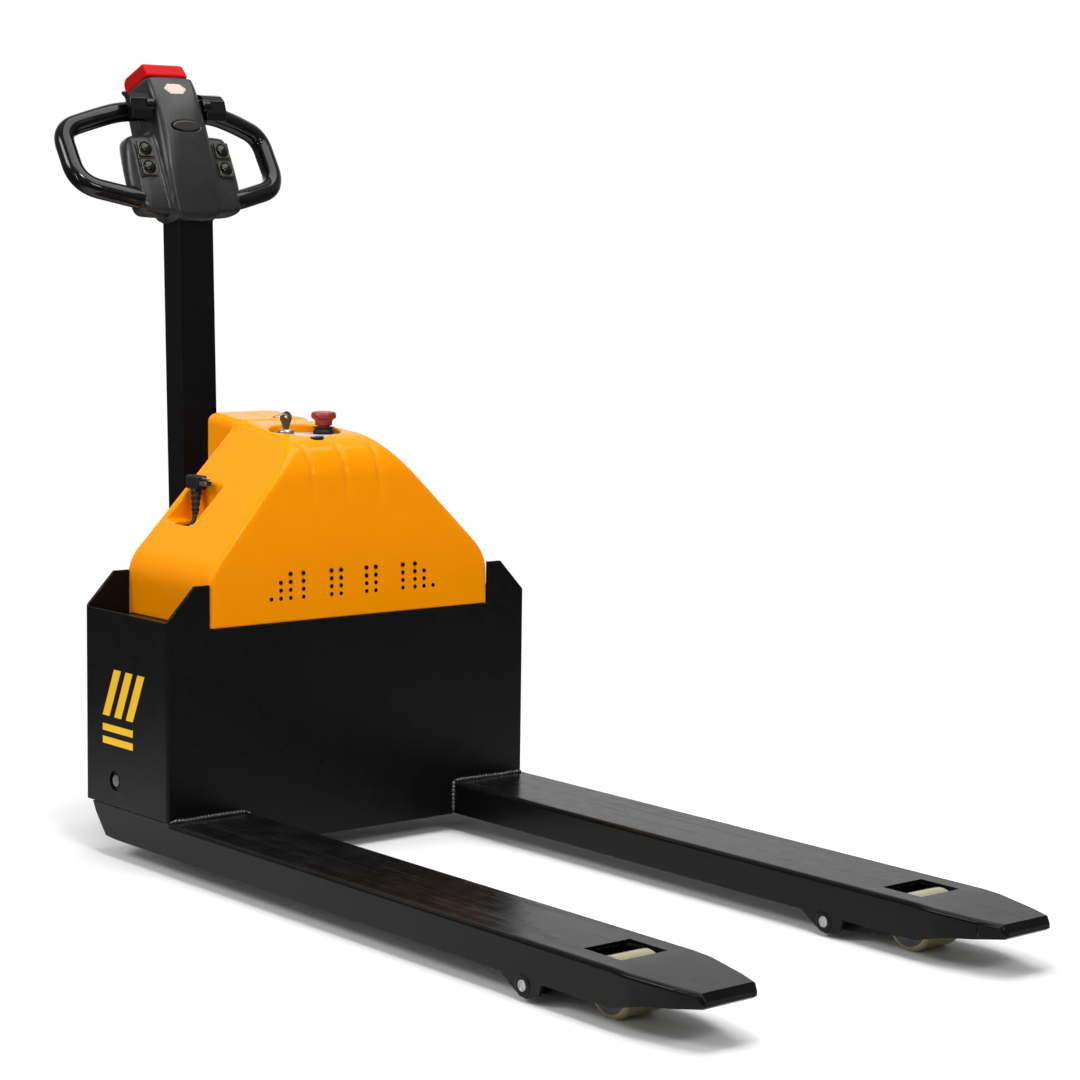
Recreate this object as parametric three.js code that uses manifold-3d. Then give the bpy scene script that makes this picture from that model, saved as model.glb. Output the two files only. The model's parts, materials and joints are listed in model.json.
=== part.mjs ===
// Walk-behind electric pallet jack, in millimetres, +Z up, +X towards the fork tips, -Y its left side.
// Stations along the truck are measured from the outer face of the front plate; the finished group is
// moved so that its origin lies on the floor, at the middle of the overall length.
import * as THREE from 'three';
import { mergeVertices } from 'three/addons/utils/BufferGeometryUtils.js';
import Module from 'manifold-3d';

const wasm = await Module();
wasm.setup();

// ---------------------------------------------------------------- driving dimensions
const GAP = 0.3; // running or seating gap between neighbouring pieces
const PLATE = 6; // sheet thickness of the chassis
const LEAN = THREE.MathUtils.degToRad; // angles are given in degrees

const CHASSIS = {
  half: 342.5, depth: 237, sideBottom: 83, sideTop: 385, hornTop: 437, hornFlat: 293,
  cutHalf: 267.4, cutBottom: 369.5, frontBottom: 29,
};
const FORK = { centre: 271, half: 71.5, top: 82, skirt: 31, rear: -217, seatEnd: 1, tip: 1149, tipHalf: 45.5 };
const WINDOW = { x0: 920, x1: 992, half: 39 }; // opening in the fork's top over the roller
const SHAFT = { x: -151, z: 123, radius: 18 }; // cross shaft of the bell cranks
const CRANK = { back: 179, rise: 55, low: 62, rearY: 235 };
const ROCKER = { x: 841, z: 22, lever: 39.4, leverLean: 27.5, pin: 8, boss: 15, bossHalf: 62, foot: 18 };
const ROCKER_CHEEK = { inner: 37.5, outer: 45.5 };
const ROLLER = { x: 965, z: 40, radius: 40, half: 34.5, bore: 10.7, axle: 10, axleHalf: 48 };
const PUSH_ROD_Z = 62;
const STEER_X = -375; // steering axis
const CARRIER = { z0: 224, z1: 236, half: 250 };
const WHEEL = { radius: 105, half: 35, hub: 75, shoulder: 98 };
const GEARBOX = { neck: 50, flange: 68, flangeBottom: 212, top: 244, inner: 38, outer: 95, axle: 20 };
const MOTOR = { radius: 45, groove: 41, top: 400, brakeTop: 434 };
const BRACKET = { radius: 60, rear: -492, inner: 38, outer: 46 };
const CASTER = { x: -345, y: 190, trail: 25, radius: 40, half: 16 };
const CASTER_CROWN = { z: 100, flange: 26, stem: 8, stemTop: 158 };
const CASTER_CHEEK = { inner: 19, outer: 24, axle: 6, axleHalf: 27 };
const CYLINDER = { x: -278, rod: 17, piston: 23.4, stroke: 530, barrel: 30, barrelBottom: 262, barrelTop: 560 };
const COVER = { half: 266.8, bottom: 370, wall: 4, humpHalf: 70, humpRear: -320, humpBottom: 256 };
const POCKET = { x: -128, y: -6, rx: 50, ry: 60, floor: 642 };
const STOP = { x: -132, y: 33 };
const LOCK = { x: -126, y: -44 };
const VENT = { radius: 2.8, bottom: 407, pitch: 12.3 };
const VENT_COLUMNS = [[24.5, 4], [42.5, 4], [95.5, 4], [119.5, 4], [137.5, 3], [155.5, 1]]; // [|y|, holes]
const RECESS = { x0: -226, x1: -140, back: -150, floor: 512 };
const TILLER = { x: -456, z: 285, lean: 1.98, halfX: 25, halfY: 34, top: 724 };
const HEAD = { x: -480, z: 979, lean: 23, split: -10 };
const BOW_RADIUS = 16.5;
const THROTTLE = { n: 42, h: 192 };

// ---------------------------------------------------------------- materials
const finish = (color, roughness, metalness) => new THREE.MeshStandardMaterial({ color, roughness, metalness });
const BLACK_PAINT = finish(0x141416, 0.38, 0.0);
const YELLOW = finish(0xf29d08, 0.25, 0.0);
const CHARCOAL = finish(0x3b3e42, 0.5, 0.0);
const GLOSS_BLACK = finish(0x0c0c0d, 0.15, 0.0);
const RUBBER = finish(0x1d1d1d, 0.8, 0.0);
const CREAM = finish(0xcfc3a2, 0.5, 0.0);
const STEEL = finish(0x9a9da0, 0.35, 1.0);
const CAST = finish(0x4a4c4e, 0.6, 0.8);
const RED = finish(0xc8171a, 0.3, 0.0);
const DARK_RED = finish(0x9a2520, 0.35, 0.0);
const GREY_PANEL = finish(0xb8bcb8, 0.4, 0.0);
const BATTERY_CASE = finish(0x2a2d33, 0.6, 0.0);

// ---------------------------------------------------------------- solids and booleans
function weld(geometry) {
  const bare = geometry.clone();
  bare.deleteAttribute('normal');
  bare.deleteAttribute('uv');
  const merged = mergeVertices(bare, 1e-3);
  const kept = [];
  const index = merged.index.array;
  for (let i = 0; i < index.length; i += 3) {
    const [a, b, c] = [index[i], index[i + 1], index[i + 2]];
    if (a !== b && b !== c && c !== a) kept.push(a, b, c);
  }
  merged.setIndex(kept);
  return merged;
}

function toSolid(geometry) {
  const welded = weld(geometry);
  const vertProperties = Float32Array.from(welded.attributes.position.array);
  const triVerts = Uint32Array.from(welded.index.array);
  return new wasm.Manifold(new wasm.Mesh({ numProp: 3, vertProperties, triVerts }));
}

function toGeometry(solid) {
  const mesh = solid.getMesh();
  const geometry = new THREE.BufferGeometry();
  geometry.setAttribute('position', new THREE.BufferAttribute(Float32Array.from(mesh.vertProperties), 3));
  geometry.setIndex(new THREE.BufferAttribute(Uint32Array.from(mesh.triVerts), 1));
  geometry.computeVertexNormals();
  return geometry;
}

const reduce = (geometries, step) => toGeometry(geometries.map(toSolid).reduce(step));
const join = (...geometries) => reduce(geometries, (a, b) => a.add(b));
const cut = (...geometries) => reduce(geometries, (a, b) => a.subtract(b));
const common = (...geometries) => reduce(geometries, (a, b) => a.intersect(b));

// ---------------------------------------------------------------- basic shapes
function box(x0, x1, y0, y1, z0, z1) {
  const geometry = new THREE.BoxGeometry(x1 - x0, y1 - y0, z1 - z0);
  return geometry.translate((x0 + x1) / 2, (y0 + y1) / 2, (z0 + z1) / 2);
}

// an outline is a list of [a, b] points, or a ready Shape
function asShape(outline) {
  if (outline instanceof THREE.Shape) return outline;
  return new THREE.Shape(outline.map(([a, b]) => new THREE.Vector2(a, b)));
}

function extrude(outline, depth, curveSegments = 8) {
  return new THREE.ExtrudeGeometry(asShape(outline), { depth, bevelEnabled: false, curveSegments, steps: 1 });
}

// outline in (y, z), extruded along X
function prismX(outline, x0, x1, segments) {
  const turn = new THREE.Matrix4().makeBasis(
    new THREE.Vector3(0, 1, 0), new THREE.Vector3(0, 0, 1), new THREE.Vector3(1, 0, 0));
  return extrude(outline, x1 - x0, segments).applyMatrix4(turn).translate(x0, 0, 0);
}

// outline in (x, z), extruded along Y
function prismY(outline, y0, y1, segments) {
  return extrude(outline, y1 - y0, segments).rotateX(Math.PI / 2).translate(0, y1, 0);
}

// outline in (x, y), extruded along Z
function prismZ(outline, z0, z1, segments) {
  return extrude(outline, z1 - z0, segments).translate(0, 0, z0);
}

const rodY = (radius, y0, y1, x, z, sides = 20) =>
  new THREE.CylinderGeometry(radius, radius, y1 - y0, sides).translate(x, (y0 + y1) / 2, z);

const rodZ = (radius, z0, z1, x, y, sides = 24) =>
  new THREE.CylinderGeometry(radius, radius, z1 - z0, sides).rotateX(Math.PI / 2).translate(x, y, (z0 + z1) / 2);

// profile points are [radius, height], running up the outer wall
function latheZ(profile, x, y, sides = 28) {
  const points = profile.map(([r, h]) => new THREE.Vector2(r, h));
  return weld(new THREE.LatheGeometry(points, sides)).rotateX(Math.PI / 2).translate(x, y, 0);
}

function latheY(profile, x, y, z, sides = 28) {
  const points = profile.map(([r, h]) => new THREE.Vector2(r, h));
  return weld(new THREE.LatheGeometry(points, sides)).translate(x, y, z);
}

const mirrored = (outline) => [...outline, ...outline.map(([a, b]) => [-a, b]).reverse()];

// bar with two round ends, between circles (ax, az, ar) and (bx, bz, br)
function linkShape(ax, az, ar, bx, bz, br) {
  const length = Math.hypot(bx - ax, bz - az);
  const along = Math.atan2(bz - az, bx - ax);
  const spread = Math.acos((ar - br) / length);
  const shape = new THREE.Shape();
  shape.absarc(ax, az, ar, along + spread, along - spread + 2 * Math.PI, false);
  shape.absarc(bx, bz, br, along - spread, along + spread, false);
  return shape;
}

function ellipseShape(x, y, rx, ry) {
  return new THREE.Shape().absellipse(x, y, rx, ry, 0, 2 * Math.PI, false);
}

// straight runs joined by rounded corners
function roundedPath(points, radius) {
  const path = new THREE.CurvePath();
  let from = points[0];
  for (let i = 1; i < points.length - 1; i++) {
    const inward = points[i - 1].clone().sub(points[i]);
    const outward = points[i + 1].clone().sub(points[i]);
    const reach = Math.min(radius, inward.length() * 0.45, outward.length() * 0.45);
    const start = points[i].clone().add(inward.setLength(reach));
    const end = points[i].clone().add(outward.setLength(reach));
    path.add(new THREE.LineCurve3(from, start));
    path.add(new THREE.QuadraticBezierCurve3(start, points[i], end));
    from = end;
  }
  path.add(new THREE.LineCurve3(from, points[points.length - 1]));
  return path;
}

function tube(path, radius, steps, sides) {
  const section = new THREE.Shape();
  for (let i = 0; i < sides; i++) {
    const turn = (2 * Math.PI * i) / sides;
    const place = [radius * Math.cos(turn), radius * Math.sin(turn)];
    if (i === 0) section.moveTo(...place);
    else section.lineTo(...place);
  }
  return new THREE.ExtrudeGeometry(section, { steps, bevelEnabled: false, extrudePath: path });
}

// ---------------------------------------------------------------- scene graph
const palletJack = new THREE.Group();
const stations = new THREE.Group(); // x = 0 at the front plate's outer face
palletJack.add(stations);

function add(name, geometry, material, parent = stations) {
  const part = new THREE.Mesh(geometry, material);
  part.name = name;
  parent.add(part);
}

const SIDES = [['left', -1], ['right', 1]];

// ---------------------------------------------------------------- battery box
// outline of an end plate in (y, z); the lower edge differs between front and rear
function endPlate(lowerEdge) {
  const c = CHASSIS;
  return [
    ...lowerEdge, [c.half, c.sideTop], [c.hornFlat, c.hornTop], [c.cutHalf, c.hornTop], [c.cutHalf, c.cutBottom],
    [-c.cutHalf, c.cutBottom], [-c.cutHalf, c.hornTop], [-c.hornFlat, c.hornTop], [-c.half, c.sideTop],
  ];
}

function buildBatteryBox() {
  const c = CHASSIS;
  const inner = FORK.centre - FORK.half - GAP; // between the forks
  const seam = FORK.top;
  const frontEdge = [
    [-c.half, seam], [-inner, seam], [-inner, c.frontBottom],
    [inner, c.frontBottom], [inner, seam], [c.half, seam],
  ];
  add('front_plate', prismX(endPlate(frontEdge), -PLATE, 0), BLACK_PAINT);

  const slot = { half: 12, top: 172 }; // passage for the bell crank arms
  const rearEdge = [[-c.half, c.sideBottom]];
  for (const side of [-1, 1]) {
    const y = side * CRANK.rearY;
    rearEdge.push([y - slot.half, c.sideBottom], [y - slot.half, slot.top]);
    rearEdge.push([y + slot.half, slot.top], [y + slot.half, c.sideBottom]);
  }
  rearEdge.push([c.half, c.sideBottom]);
  add('rear_plate', prismX(endPlate(rearEdge), -c.depth, -c.depth + PLATE), BLACK_PAINT);

  const front = -PLATE - GAP;
  const rear = -c.depth + PLATE + GAP;
  for (const [word, side] of SIDES) {
    const outer = side * c.half;
    const insideFace = side * (c.half - PLATE);
    const [y0, y1] = side < 0 ? [outer, insideFace] : [insideFace, outer];
    const hole = rodY(16, y0 - 1, y1 + 1, SHAFT.x, SHAFT.z, 24);
    add(`${word}_side_plate`, cut(box(rear, front, y0, y1, c.sideBottom, c.sideTop), hole), BLACK_PAINT);
  }

  const across = c.half - PLATE - 2 * GAP;
  const shelf = { z0: 365.5, z1: 369.5, rim: 15, openHalf: 255 };
  add('cover_shelf', cut(
    box(rear + GAP, front - GAP, -across, across, shelf.z0, shelf.z1),
    box(rear + shelf.rim, front - shelf.rim, -shelf.openHalf, shelf.openHalf, shelf.z0 - 1, shelf.z1 + 1),
  ), BLACK_PAINT);

  const tray = { z0: 168, z1: 172, lip: 190 };
  add('battery_tray', cut(
    box(rear + GAP, front - GAP, -across, across, tray.z0, tray.lip),
    box(rear + 3, front - 3, -across + 3, across - 3, tray.z1, tray.lip + 1),
  ), BLACK_PAINT);

  for (const [word, side] of SIDES) {
    const y = side * 138;
    const posts = [-160, -70].map((x) => rodZ(8, 358, 368, x, y + side * 95, 12));
    add(`${word}_battery`, join(box(-205, -30, y - 130, y + 130, tray.z1 + GAP, 360), ...posts), BATTERY_CASE);
  }
}

// ---------------------------------------------------------------- forks
function forkSideOutline() {
  const seat = FORK.top - GAP; // the end plate stands here
  return [
    [-179, 33], [-150, FORK.skirt], [795, FORK.skirt], [826, 13], [836, 7.5], [846, 6], [858, 8], [872, 15],
    [878, FORK.skirt], [1010, FORK.skirt], [1060, 44], [FORK.tip - 6, 60], [FORK.tip, 64], [FORK.tip, 70],
    [FORK.tip - 7, 75], [1010, FORK.top], [FORK.seatEnd, FORK.top], [FORK.seatEnd, seat], [FORK.rear, seat],
    [-208, 66],
  ];
}

function buildFork(word, side) {
  const y = side * FORK.centre;
  const taper = (half, tip, tipHalf, rear) => [
    [rear, y - half], [1040, y - half], [1110, y - tipHalf - 12], [tip, y - tipHalf],
    [tip, y + tipHalf], [1110, y + tipHalf + 12], [1040, y + half], [rear, y + half],
  ];
  const outer = common(
    prismY(forkSideOutline(), y - FORK.half, y + FORK.half),
    prismZ(taper(FORK.half, FORK.tip, FORK.tipHalf, FORK.rear), 0, 90),
  );
  const under = FORK.top - PLATE;
  const hollow = common(
    prismY([[-230, -5], [1136, -5], [1136, 68], [1010, under], [-230, under]], y - FORK.half, y + FORK.half),
    prismZ(taper(FORK.half - PLATE, 1136, FORK.tipHalf - PLATE, -230), -5, 90),
  );
  const rollerWindow = box(WINDOW.x0, WINDOW.x1, y - WINDOW.half, y + WINDOW.half, 60, 90);
  const crankSlot = box(-212, -105, y - 9, y + 9, 60, 90);
  const pinHole = rodY(8.5, y - 80, y + 80, ROCKER.x, ROCKER.z, 16);
  add(`${word}_fork`, cut(outer, hollow, rollerWindow, crankSlot, pinHole), BLACK_PAINT);
}

// ---------------------------------------------------------------- lift linkage
function buildCrankShaft() {
  const reach = CHASSIS.half - PLATE - 2;
  const lean = Math.atan2(CRANK.rise, CRANK.back);
  const lowX = SHAFT.x - CRANK.low * Math.sin(lean);
  const lowZ = SHAFT.z - CRANK.low * Math.cos(lean);
  const atRadius = (r) => [SHAFT.x - r * Math.cos(lean), SHAFT.z + r * Math.sin(lean)];
  const arms = [];
  const slots = [];
  for (const side of [-1, 1]) {
    const yRear = side * CRANK.rearY;
    const yLow = side * FORK.centre;
    const [endX, endZ] = atRadius(184);
    arms.push(prismY(linkShape(SHAFT.x, SHAFT.z, 16, endX, endZ, 18), yRear - 6, yRear + 6, 7));
    arms.push(prismY(linkShape(SHAFT.x, SHAFT.z, 16, lowX, lowZ, 10), yLow - 6, yLow + 6, 6));
    arms.push(rodY(6, yLow - 14, yLow + 14, lowX, lowZ, 12));
    const slot = linkShape(...atRadius(178), 8.8, ...atRadius(188.5), 8.8);
    slots.push(prismY(slot, yRear - 8, yRear + 8, 6));
  }
  const shaft = join(
    rodY(SHAFT.radius, -reach, reach, SHAFT.x, SHAFT.z, 20),
    rodY(9, -CHASSIS.half + 2, CHASSIS.half - 2, SHAFT.x, SHAFT.z, 16),
    ...arms,
  );
  add('bell_crank_shaft', cut(shaft, ...slots), CAST);
}

function buildPushRod(word, side) {
  const y = side * FORK.centre;
  const lean = Math.atan2(CRANK.rise, CRANK.back);
  const rearX = SHAFT.x - CRANK.low * Math.sin(lean);
  const frontX = ROCKER.x - ROCKER.lever * Math.sin(LEAN(ROCKER.leverLean));
  const bar = box(rearX + 34, frontX - 30, y - 9, y + 9, PUSH_ROD_Z - 8, PUSH_ROD_Z + 8);
  const rearHead = box(rearX - 13, rearX + 38, y - 13.5, y + 13.5, 50.5, 74.5);
  const frontHead = box(frontX - 36, frontX + 12, y - 13.5, y + 13.5, 46, 72);
  const forked = join(bar, rearHead, frontHead);
  const rearMouth = box(rearX - 20, rearX + 24, y - 7, y + 7, 40, 80);
  const frontMouth = box(frontX - 22, frontX + 20, y - 7, y + 7, 40, 80);
  const slot = (x, z0, z1) => prismY(linkShape(x, z0, 6.7, x, z1, 6.7), y - 20, y + 20, 5);
  const slots = [slot(rearX, 60.8, 64), slot(frontX, 56.6, 61.7)];
  add(`${word}_push_rod`, cut(forked, rearMouth, frontMouth, ...slots), STEEL);
}

function buildRocker(word, side) {
  const y = side * FORK.centre;
  const lean = LEAN(ROCKER.leverLean);
  const leverX = ROCKER.x - ROCKER.lever * Math.sin(lean);
  const leverZ = ROCKER.z + ROCKER.lever * Math.cos(lean);
  const { boss, bossHalf, foot, pin } = ROCKER;
  const { inner, outer } = ROCKER_CHEEK;
  const arm = (y0, y1) => prismY(linkShape(ROCKER.x, ROCKER.z, boss, ROLLER.x, ROLLER.z, foot), y0, y1, 7);
  const body = join(
    rodY(boss, y - bossHalf, y + bossHalf, ROCKER.x, ROCKER.z, 18),
    arm(y - outer, y - inner),
    arm(y + inner, y + outer),
    prismY(linkShape(ROCKER.x, ROCKER.z, 14, leverX, leverZ, 10), y - 6, y + 6, 6),
    rodY(6, y - 14, y + 14, leverX, leverZ, 12),
  );
  const pinBore = rodY(pin + 0.5, y - FORK.half, y + FORK.half, ROCKER.x, ROCKER.z, 16);
  const axleBore = rodY(ROLLER.axle + 0.5, y - FORK.half, y + FORK.half, ROLLER.x, ROLLER.z, 16);
  add(`${word}_rocker`, cut(body, pinBore, axleBore), BLACK_PAINT);
  add(`${word}_rocker_pin`, rodY(pin, y - FORK.half - 1, y + FORK.half + 1, ROCKER.x, ROCKER.z, 16), STEEL);
  const { radius, half, bore, axle, axleHalf } = ROLLER;
  add(`${word}_roller_axle`, rodY(axle, y - axleHalf, y + axleHalf, ROLLER.x, ROLLER.z, 16), STEEL);
  add(`${word}_roller`, latheY([
    [bore, -half], [radius - 4, -half], [radius - 1, -half + 1.2], [radius, -half + 4], [radius, half - 4],
    [radius - 1, half - 1.2], [radius - 4, half], [bore, half], [bore, -half],
  ], ROLLER.x, y, ROLLER.z, 24), CREAM);
}

// ---------------------------------------------------------------- carrier on the floor
function buildCarrier() {
  const { z0, z1, half } = CARRIER;
  const pinX = SHAFT.x - CRANK.back;
  const pinZ = SHAFT.z + CRANK.rise;
  const pieces = [
    rodZ(100, z0, z1, STEER_X, 0, 32),
    box(-440, -250, -60, 60, z0, z1),
    box(-372, -305, -half, half, z0, z1),
  ];
  const bores = [rodZ(70, z0 - 1, z1 + 1, STEER_X, 0, 28)];
  for (const side of [-1, 1]) {
    const cheeks = [[CRANK.rearY - 13, CRANK.rearY - 7], [CRANK.rearY + 7, CRANK.rearY + 13]];
    for (const cheek of cheeks) {
      const [y0, y1] = side < 0 ? [-cheek[1], -cheek[0]] : cheek;
      pieces.push(prismY(linkShape(pinX, pinZ, 16, pinX, z0, 20), y0, y1, 6));
    }
    pieces.push(rodY(8, side * CRANK.rearY - 10, side * CRANK.rearY + 10, pinX, pinZ, 14));
    pieces.push(rodZ(25, 118, z0 + 1, CASTER.x, side * CASTER.y, 18));
    bores.push(rodZ(8.8, 117, 160, CASTER.x, side * CASTER.y, 14));
  }
  const lid = box(-460, -240, -300, 300, z1, z1 + 40); // nothing stands above the plate
  add('carrier_frame', cut(join(...pieces), ...bores, lid), BLACK_PAINT);

  add('slewing_ring', latheZ([
    [51, z0], [69, z0], [69, z1 + 4], [51, z1 + 4], [51, z0],
  ], STEER_X, 0, 28), STEEL);

  const foot = z1 + GAP;
  const { rod, piston, stroke, barrel: outside, barrelBottom, barrelTop } = CYLINDER;
  add('lift_cylinder_rod', latheZ([
    [0, foot], [26, foot], [26, foot + 10], [rod, foot + 12], [rod, stroke - 25], [piston, stroke - 25],
    [piston, stroke], [0, stroke],
  ], CYLINDER.x, 0, 24), STEEL);
  const barrel = latheZ([
    [rod + 0.7, barrelBottom], [outside, barrelBottom], [outside, barrelTop], [0, barrelTop],
    [0, barrelTop - 12], [24, barrelTop - 12],
    [24, barrelBottom + 18], [rod + 0.7, barrelBottom + 18], [rod + 0.7, barrelBottom],
  ], CYLINDER.x, 0, 24);
  const bracket = cut(
    box(-256, -CHASSIS.depth - GAP, -25, 25, 290, 350),
    rodZ(27, 280, 360, CYLINDER.x, 0, 24),
  );
  add('lift_cylinder_barrel', join(barrel, bracket), CAST);
}

function buildCaster(word, side) {
  const y = side * CASTER.y;
  const wheelX = CASTER.x + CASTER.trail;
  const { z: crown, flange, stem, stemTop } = CASTER_CROWN;
  const { inner, outer, axle, axleHalf } = CASTER_CHEEK;
  const cheek = (y0, y1) => prismY(linkShape(CASTER.x, crown + 2, 14, wheelX, CASTER.radius, 13), y0, y1, 6);
  add(`${word}_caster_fork`, join(
    rodZ(stem, crown, stemTop, CASTER.x, y, 14),
    rodZ(flange, crown, crown + 17.4, CASTER.x, y, 20),
    box(CASTER.x - 16, CASTER.x + 16, y - outer, y + outer, crown - 6, crown + 4),
    cheek(y - outer, y - inner),
    cheek(y + inner, y + outer),
    rodY(axle, y - axleHalf, y + axleHalf, wheelX, CASTER.radius, 12),
  ), STEEL);
  const { radius, half } = CASTER;
  add(`${word}_caster_wheel`, latheY([
    [axle + 0.6, -half], [radius - 3, -half], [radius, -half + 4], [radius, half - 4], [radius - 3, half],
    [axle + 0.6, half], [axle + 0.6, -half],
  ], wheelX, y, radius, 24), RUBBER);
}

// ---------------------------------------------------------------- drive unit
function buildDriveUnit() {
  const centre = WHEEL.radius;
  const { neck, flange, flangeBottom, top, inner, outer, axle } = GEARBOX;
  add('gearbox', join(
    rodZ(neck, flangeBottom, top, STEER_X, 0, 28),
    rodZ(flange, flangeBottom, CARRIER.z0 - GAP, STEER_X, 0, 28),
    box(STEER_X - 37, STEER_X + 37, inner, outer, centre, flangeBottom + 2),
    rodY(52, inner, outer, STEER_X, centre, 32),
    rodY(axle, -32, inner + 2, STEER_X, centre, 24),
  ), CAST);
  add('drive_hub', latheY([
    [20.6, -30], [32, -30], [36, -12], [62, -12], [66, -28], [WHEEL.hub, -28], [WHEEL.hub, 28], [66, 28],
    [62, 12], [36, 12], [32, 30], [20.6, 30], [20.6, -30],
  ], STEER_X, 0, centre, 24), CAST);
  add('drive_tyre', latheY([
    [WHEEL.hub + 1, -WHEEL.half + 2], [WHEEL.shoulder, -WHEEL.half], [WHEEL.radius, -WHEEL.half + 6],
    [WHEEL.radius, WHEEL.half - 6], [WHEEL.shoulder, WHEEL.half], [WHEEL.hub + 1, WHEEL.half - 2],
    [WHEEL.hub + 1, -WHEEL.half + 2],
  ], STEER_X, 0, centre, 32), RUBBER);

  const motorFoot = top + GAP;
  const { radius, groove, top: motorTop, brakeTop } = MOTOR;
  const ribs = [];
  for (let z = motorFoot + 36; z < motorTop - 20; z += 30) {
    ribs.push([groove, z], [radius, z + 3], [radius, z + 19], [groove, z + 22]);
  }
  add('drive_motor', latheZ([
    [0, motorFoot], [radius, motorFoot], [radius, motorFoot + 24], ...ribs, [radius, motorTop - 8],
    [radius, motorTop], [0, motorTop],
  ], STEER_X, 0, 24), CAST);
  add('motor_brake', latheZ([
    [0, motorTop + GAP], [38, motorTop + GAP], [40, motorTop + 4], [40, brakeTop - 6], [36, brakeTop],
    [0, brakeTop],
  ], STEER_X, 0, 28), RUBBER);

  const plateTop = motorFoot + 10;
  const cheekOutline = [[BRACKET.rear, motorFoot + 5], [-424, motorFoot + 5], [-431, 285], [-440, 302],
    [-456, 308], [-472, 302], [-481, 285]];
  const bracket = join(
    rodZ(BRACKET.radius, motorFoot, plateTop, STEER_X, 0, 32),
    box(BRACKET.rear, STEER_X, -BRACKET.outer, BRACKET.outer, motorFoot, plateTop),
    prismY(cheekOutline, -BRACKET.outer, -BRACKET.inner),
    prismY(cheekOutline, BRACKET.inner, BRACKET.outer),
  );
  add('tiller_bracket', cut(
    bracket, rodZ(MOTOR.radius + 1, 230, 320, STEER_X, 0, 32), rodY(10.4, -60, 60, TILLER.x, TILLER.z, 20),
  ), BLACK_PAINT);
  add('tiller_pin', rodY(10, -50, 50, TILLER.x, TILLER.z, 20), STEEL);
}

// ---------------------------------------------------------------- cover and what it holds
const SLOPE = { shoulder: 262, shoulderZ: 456, crest: 75.4, crestZ: 648 };

function coverFront(inset) {
  const half = COVER.half - inset;
  return mirrored([
    [half, COVER.bottom - 5 * inset], [half, 441 - inset / 2],
    [SLOPE.shoulder - inset, SLOPE.shoulderZ - inset / 2],
    [SLOPE.crest - inset, SLOPE.crestZ], [COVER.humpHalf - inset, 655], [COVER.humpHalf - inset, 690],
  ]);
}

function coverProfile(inset) {
  return [
    [-CHASSIS.depth + inset, COVER.bottom - 5 * inset], [-0.5 - inset, COVER.bottom - 5 * inset],
    [-0.5 - inset, 400], [-3 - inset, 460], [-14 - inset, 545], [-26 - inset, 605 - inset / 2],
    [-42 - inset, 628 - inset], [-72 - inset, 645 - inset], [-100, 651 - inset],
    [-CHASSIS.depth + inset, 665 - inset],
  ];
}

function vents() {
  const holes = [];
  for (const side of [-1, 1]) {
    for (const [y, count] of VENT_COLUMNS) {
      for (let row = 0; row < count; row++) {
        const hole = new THREE.CylinderGeometry(VENT.radius, VENT.radius, 20, 8).rotateZ(Math.PI / 2);
        holes.push(hole.translate(-5, side * y, VENT.bottom + row * VENT.pitch));
      }
    }
  }
  return holes;
}

function buildCover() {
  const { wall, humpHalf, humpRear, humpBottom } = COVER;
  const behind = -CHASSIS.depth - 0.4;
  const body = common(
    prismX(coverFront(0), -CHASSIS.depth, 0),
    prismY(coverProfile(0), -300, 300),
  );
  const hump = prismY([
    [humpRear, humpBottom], [behind, humpBottom], [behind, COVER.bottom + 1], [-230, COVER.bottom + 1],
    [-230, 664.2], [-306, 672.5], [-316, 670], [humpRear, 662],
  ], -humpHalf, humpHalf);
  const bodyHollow = common(
    prismX(coverFront(wall), -CHASSIS.depth, 0),
    prismY(coverProfile(wall), -300, 300),
  );
  const humpHollow = prismY([
    [humpRear + wall, humpBottom - 5], [behind + 5, humpBottom - 5], [behind + 5, COVER.bottom + 5],
    [-220, COVER.bottom + 5], [-220, 659], [-306, 668], [humpRear + wall, 660],
  ], -humpHalf + wall, humpHalf - wall);
  const pocketRoom = prismZ(ellipseShape(POCKET.x, POCKET.y, POCKET.rx + wall, POCKET.ry + wall),
    POCKET.floor - wall, 700, 14);
  const recessRoom = box(RECESS.x0 - 3, RECESS.x1 + wall, -270, RECESS.back + wall, RECESS.floor - wall, 640);
  const hollow = cut(join(bodyHollow, humpHollow), pocketRoom, recessRoom);

  const pocket = prismZ(ellipseShape(POCKET.x, POCKET.y, POCKET.rx, POCKET.ry), POCKET.floor, 700, 14);
  const recess = box(RECESS.x0, RECESS.x1, -270, RECESS.back, RECESS.floor, 640);
  const leadSlot = box(-190, -148, -210, -174, RECESS.floor - 20, RECESS.floor + 2);
  const indicatorHole = prismZ(ellipseShape(-70, -23, 7, 13), 620, 700, 8);
  const openings = [pocket, recess, leadSlot, indicatorHole, ...vents()];
  add('main_cover', cut(join(body, hump), hollow, ...openings), YELLOW);
}

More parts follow.
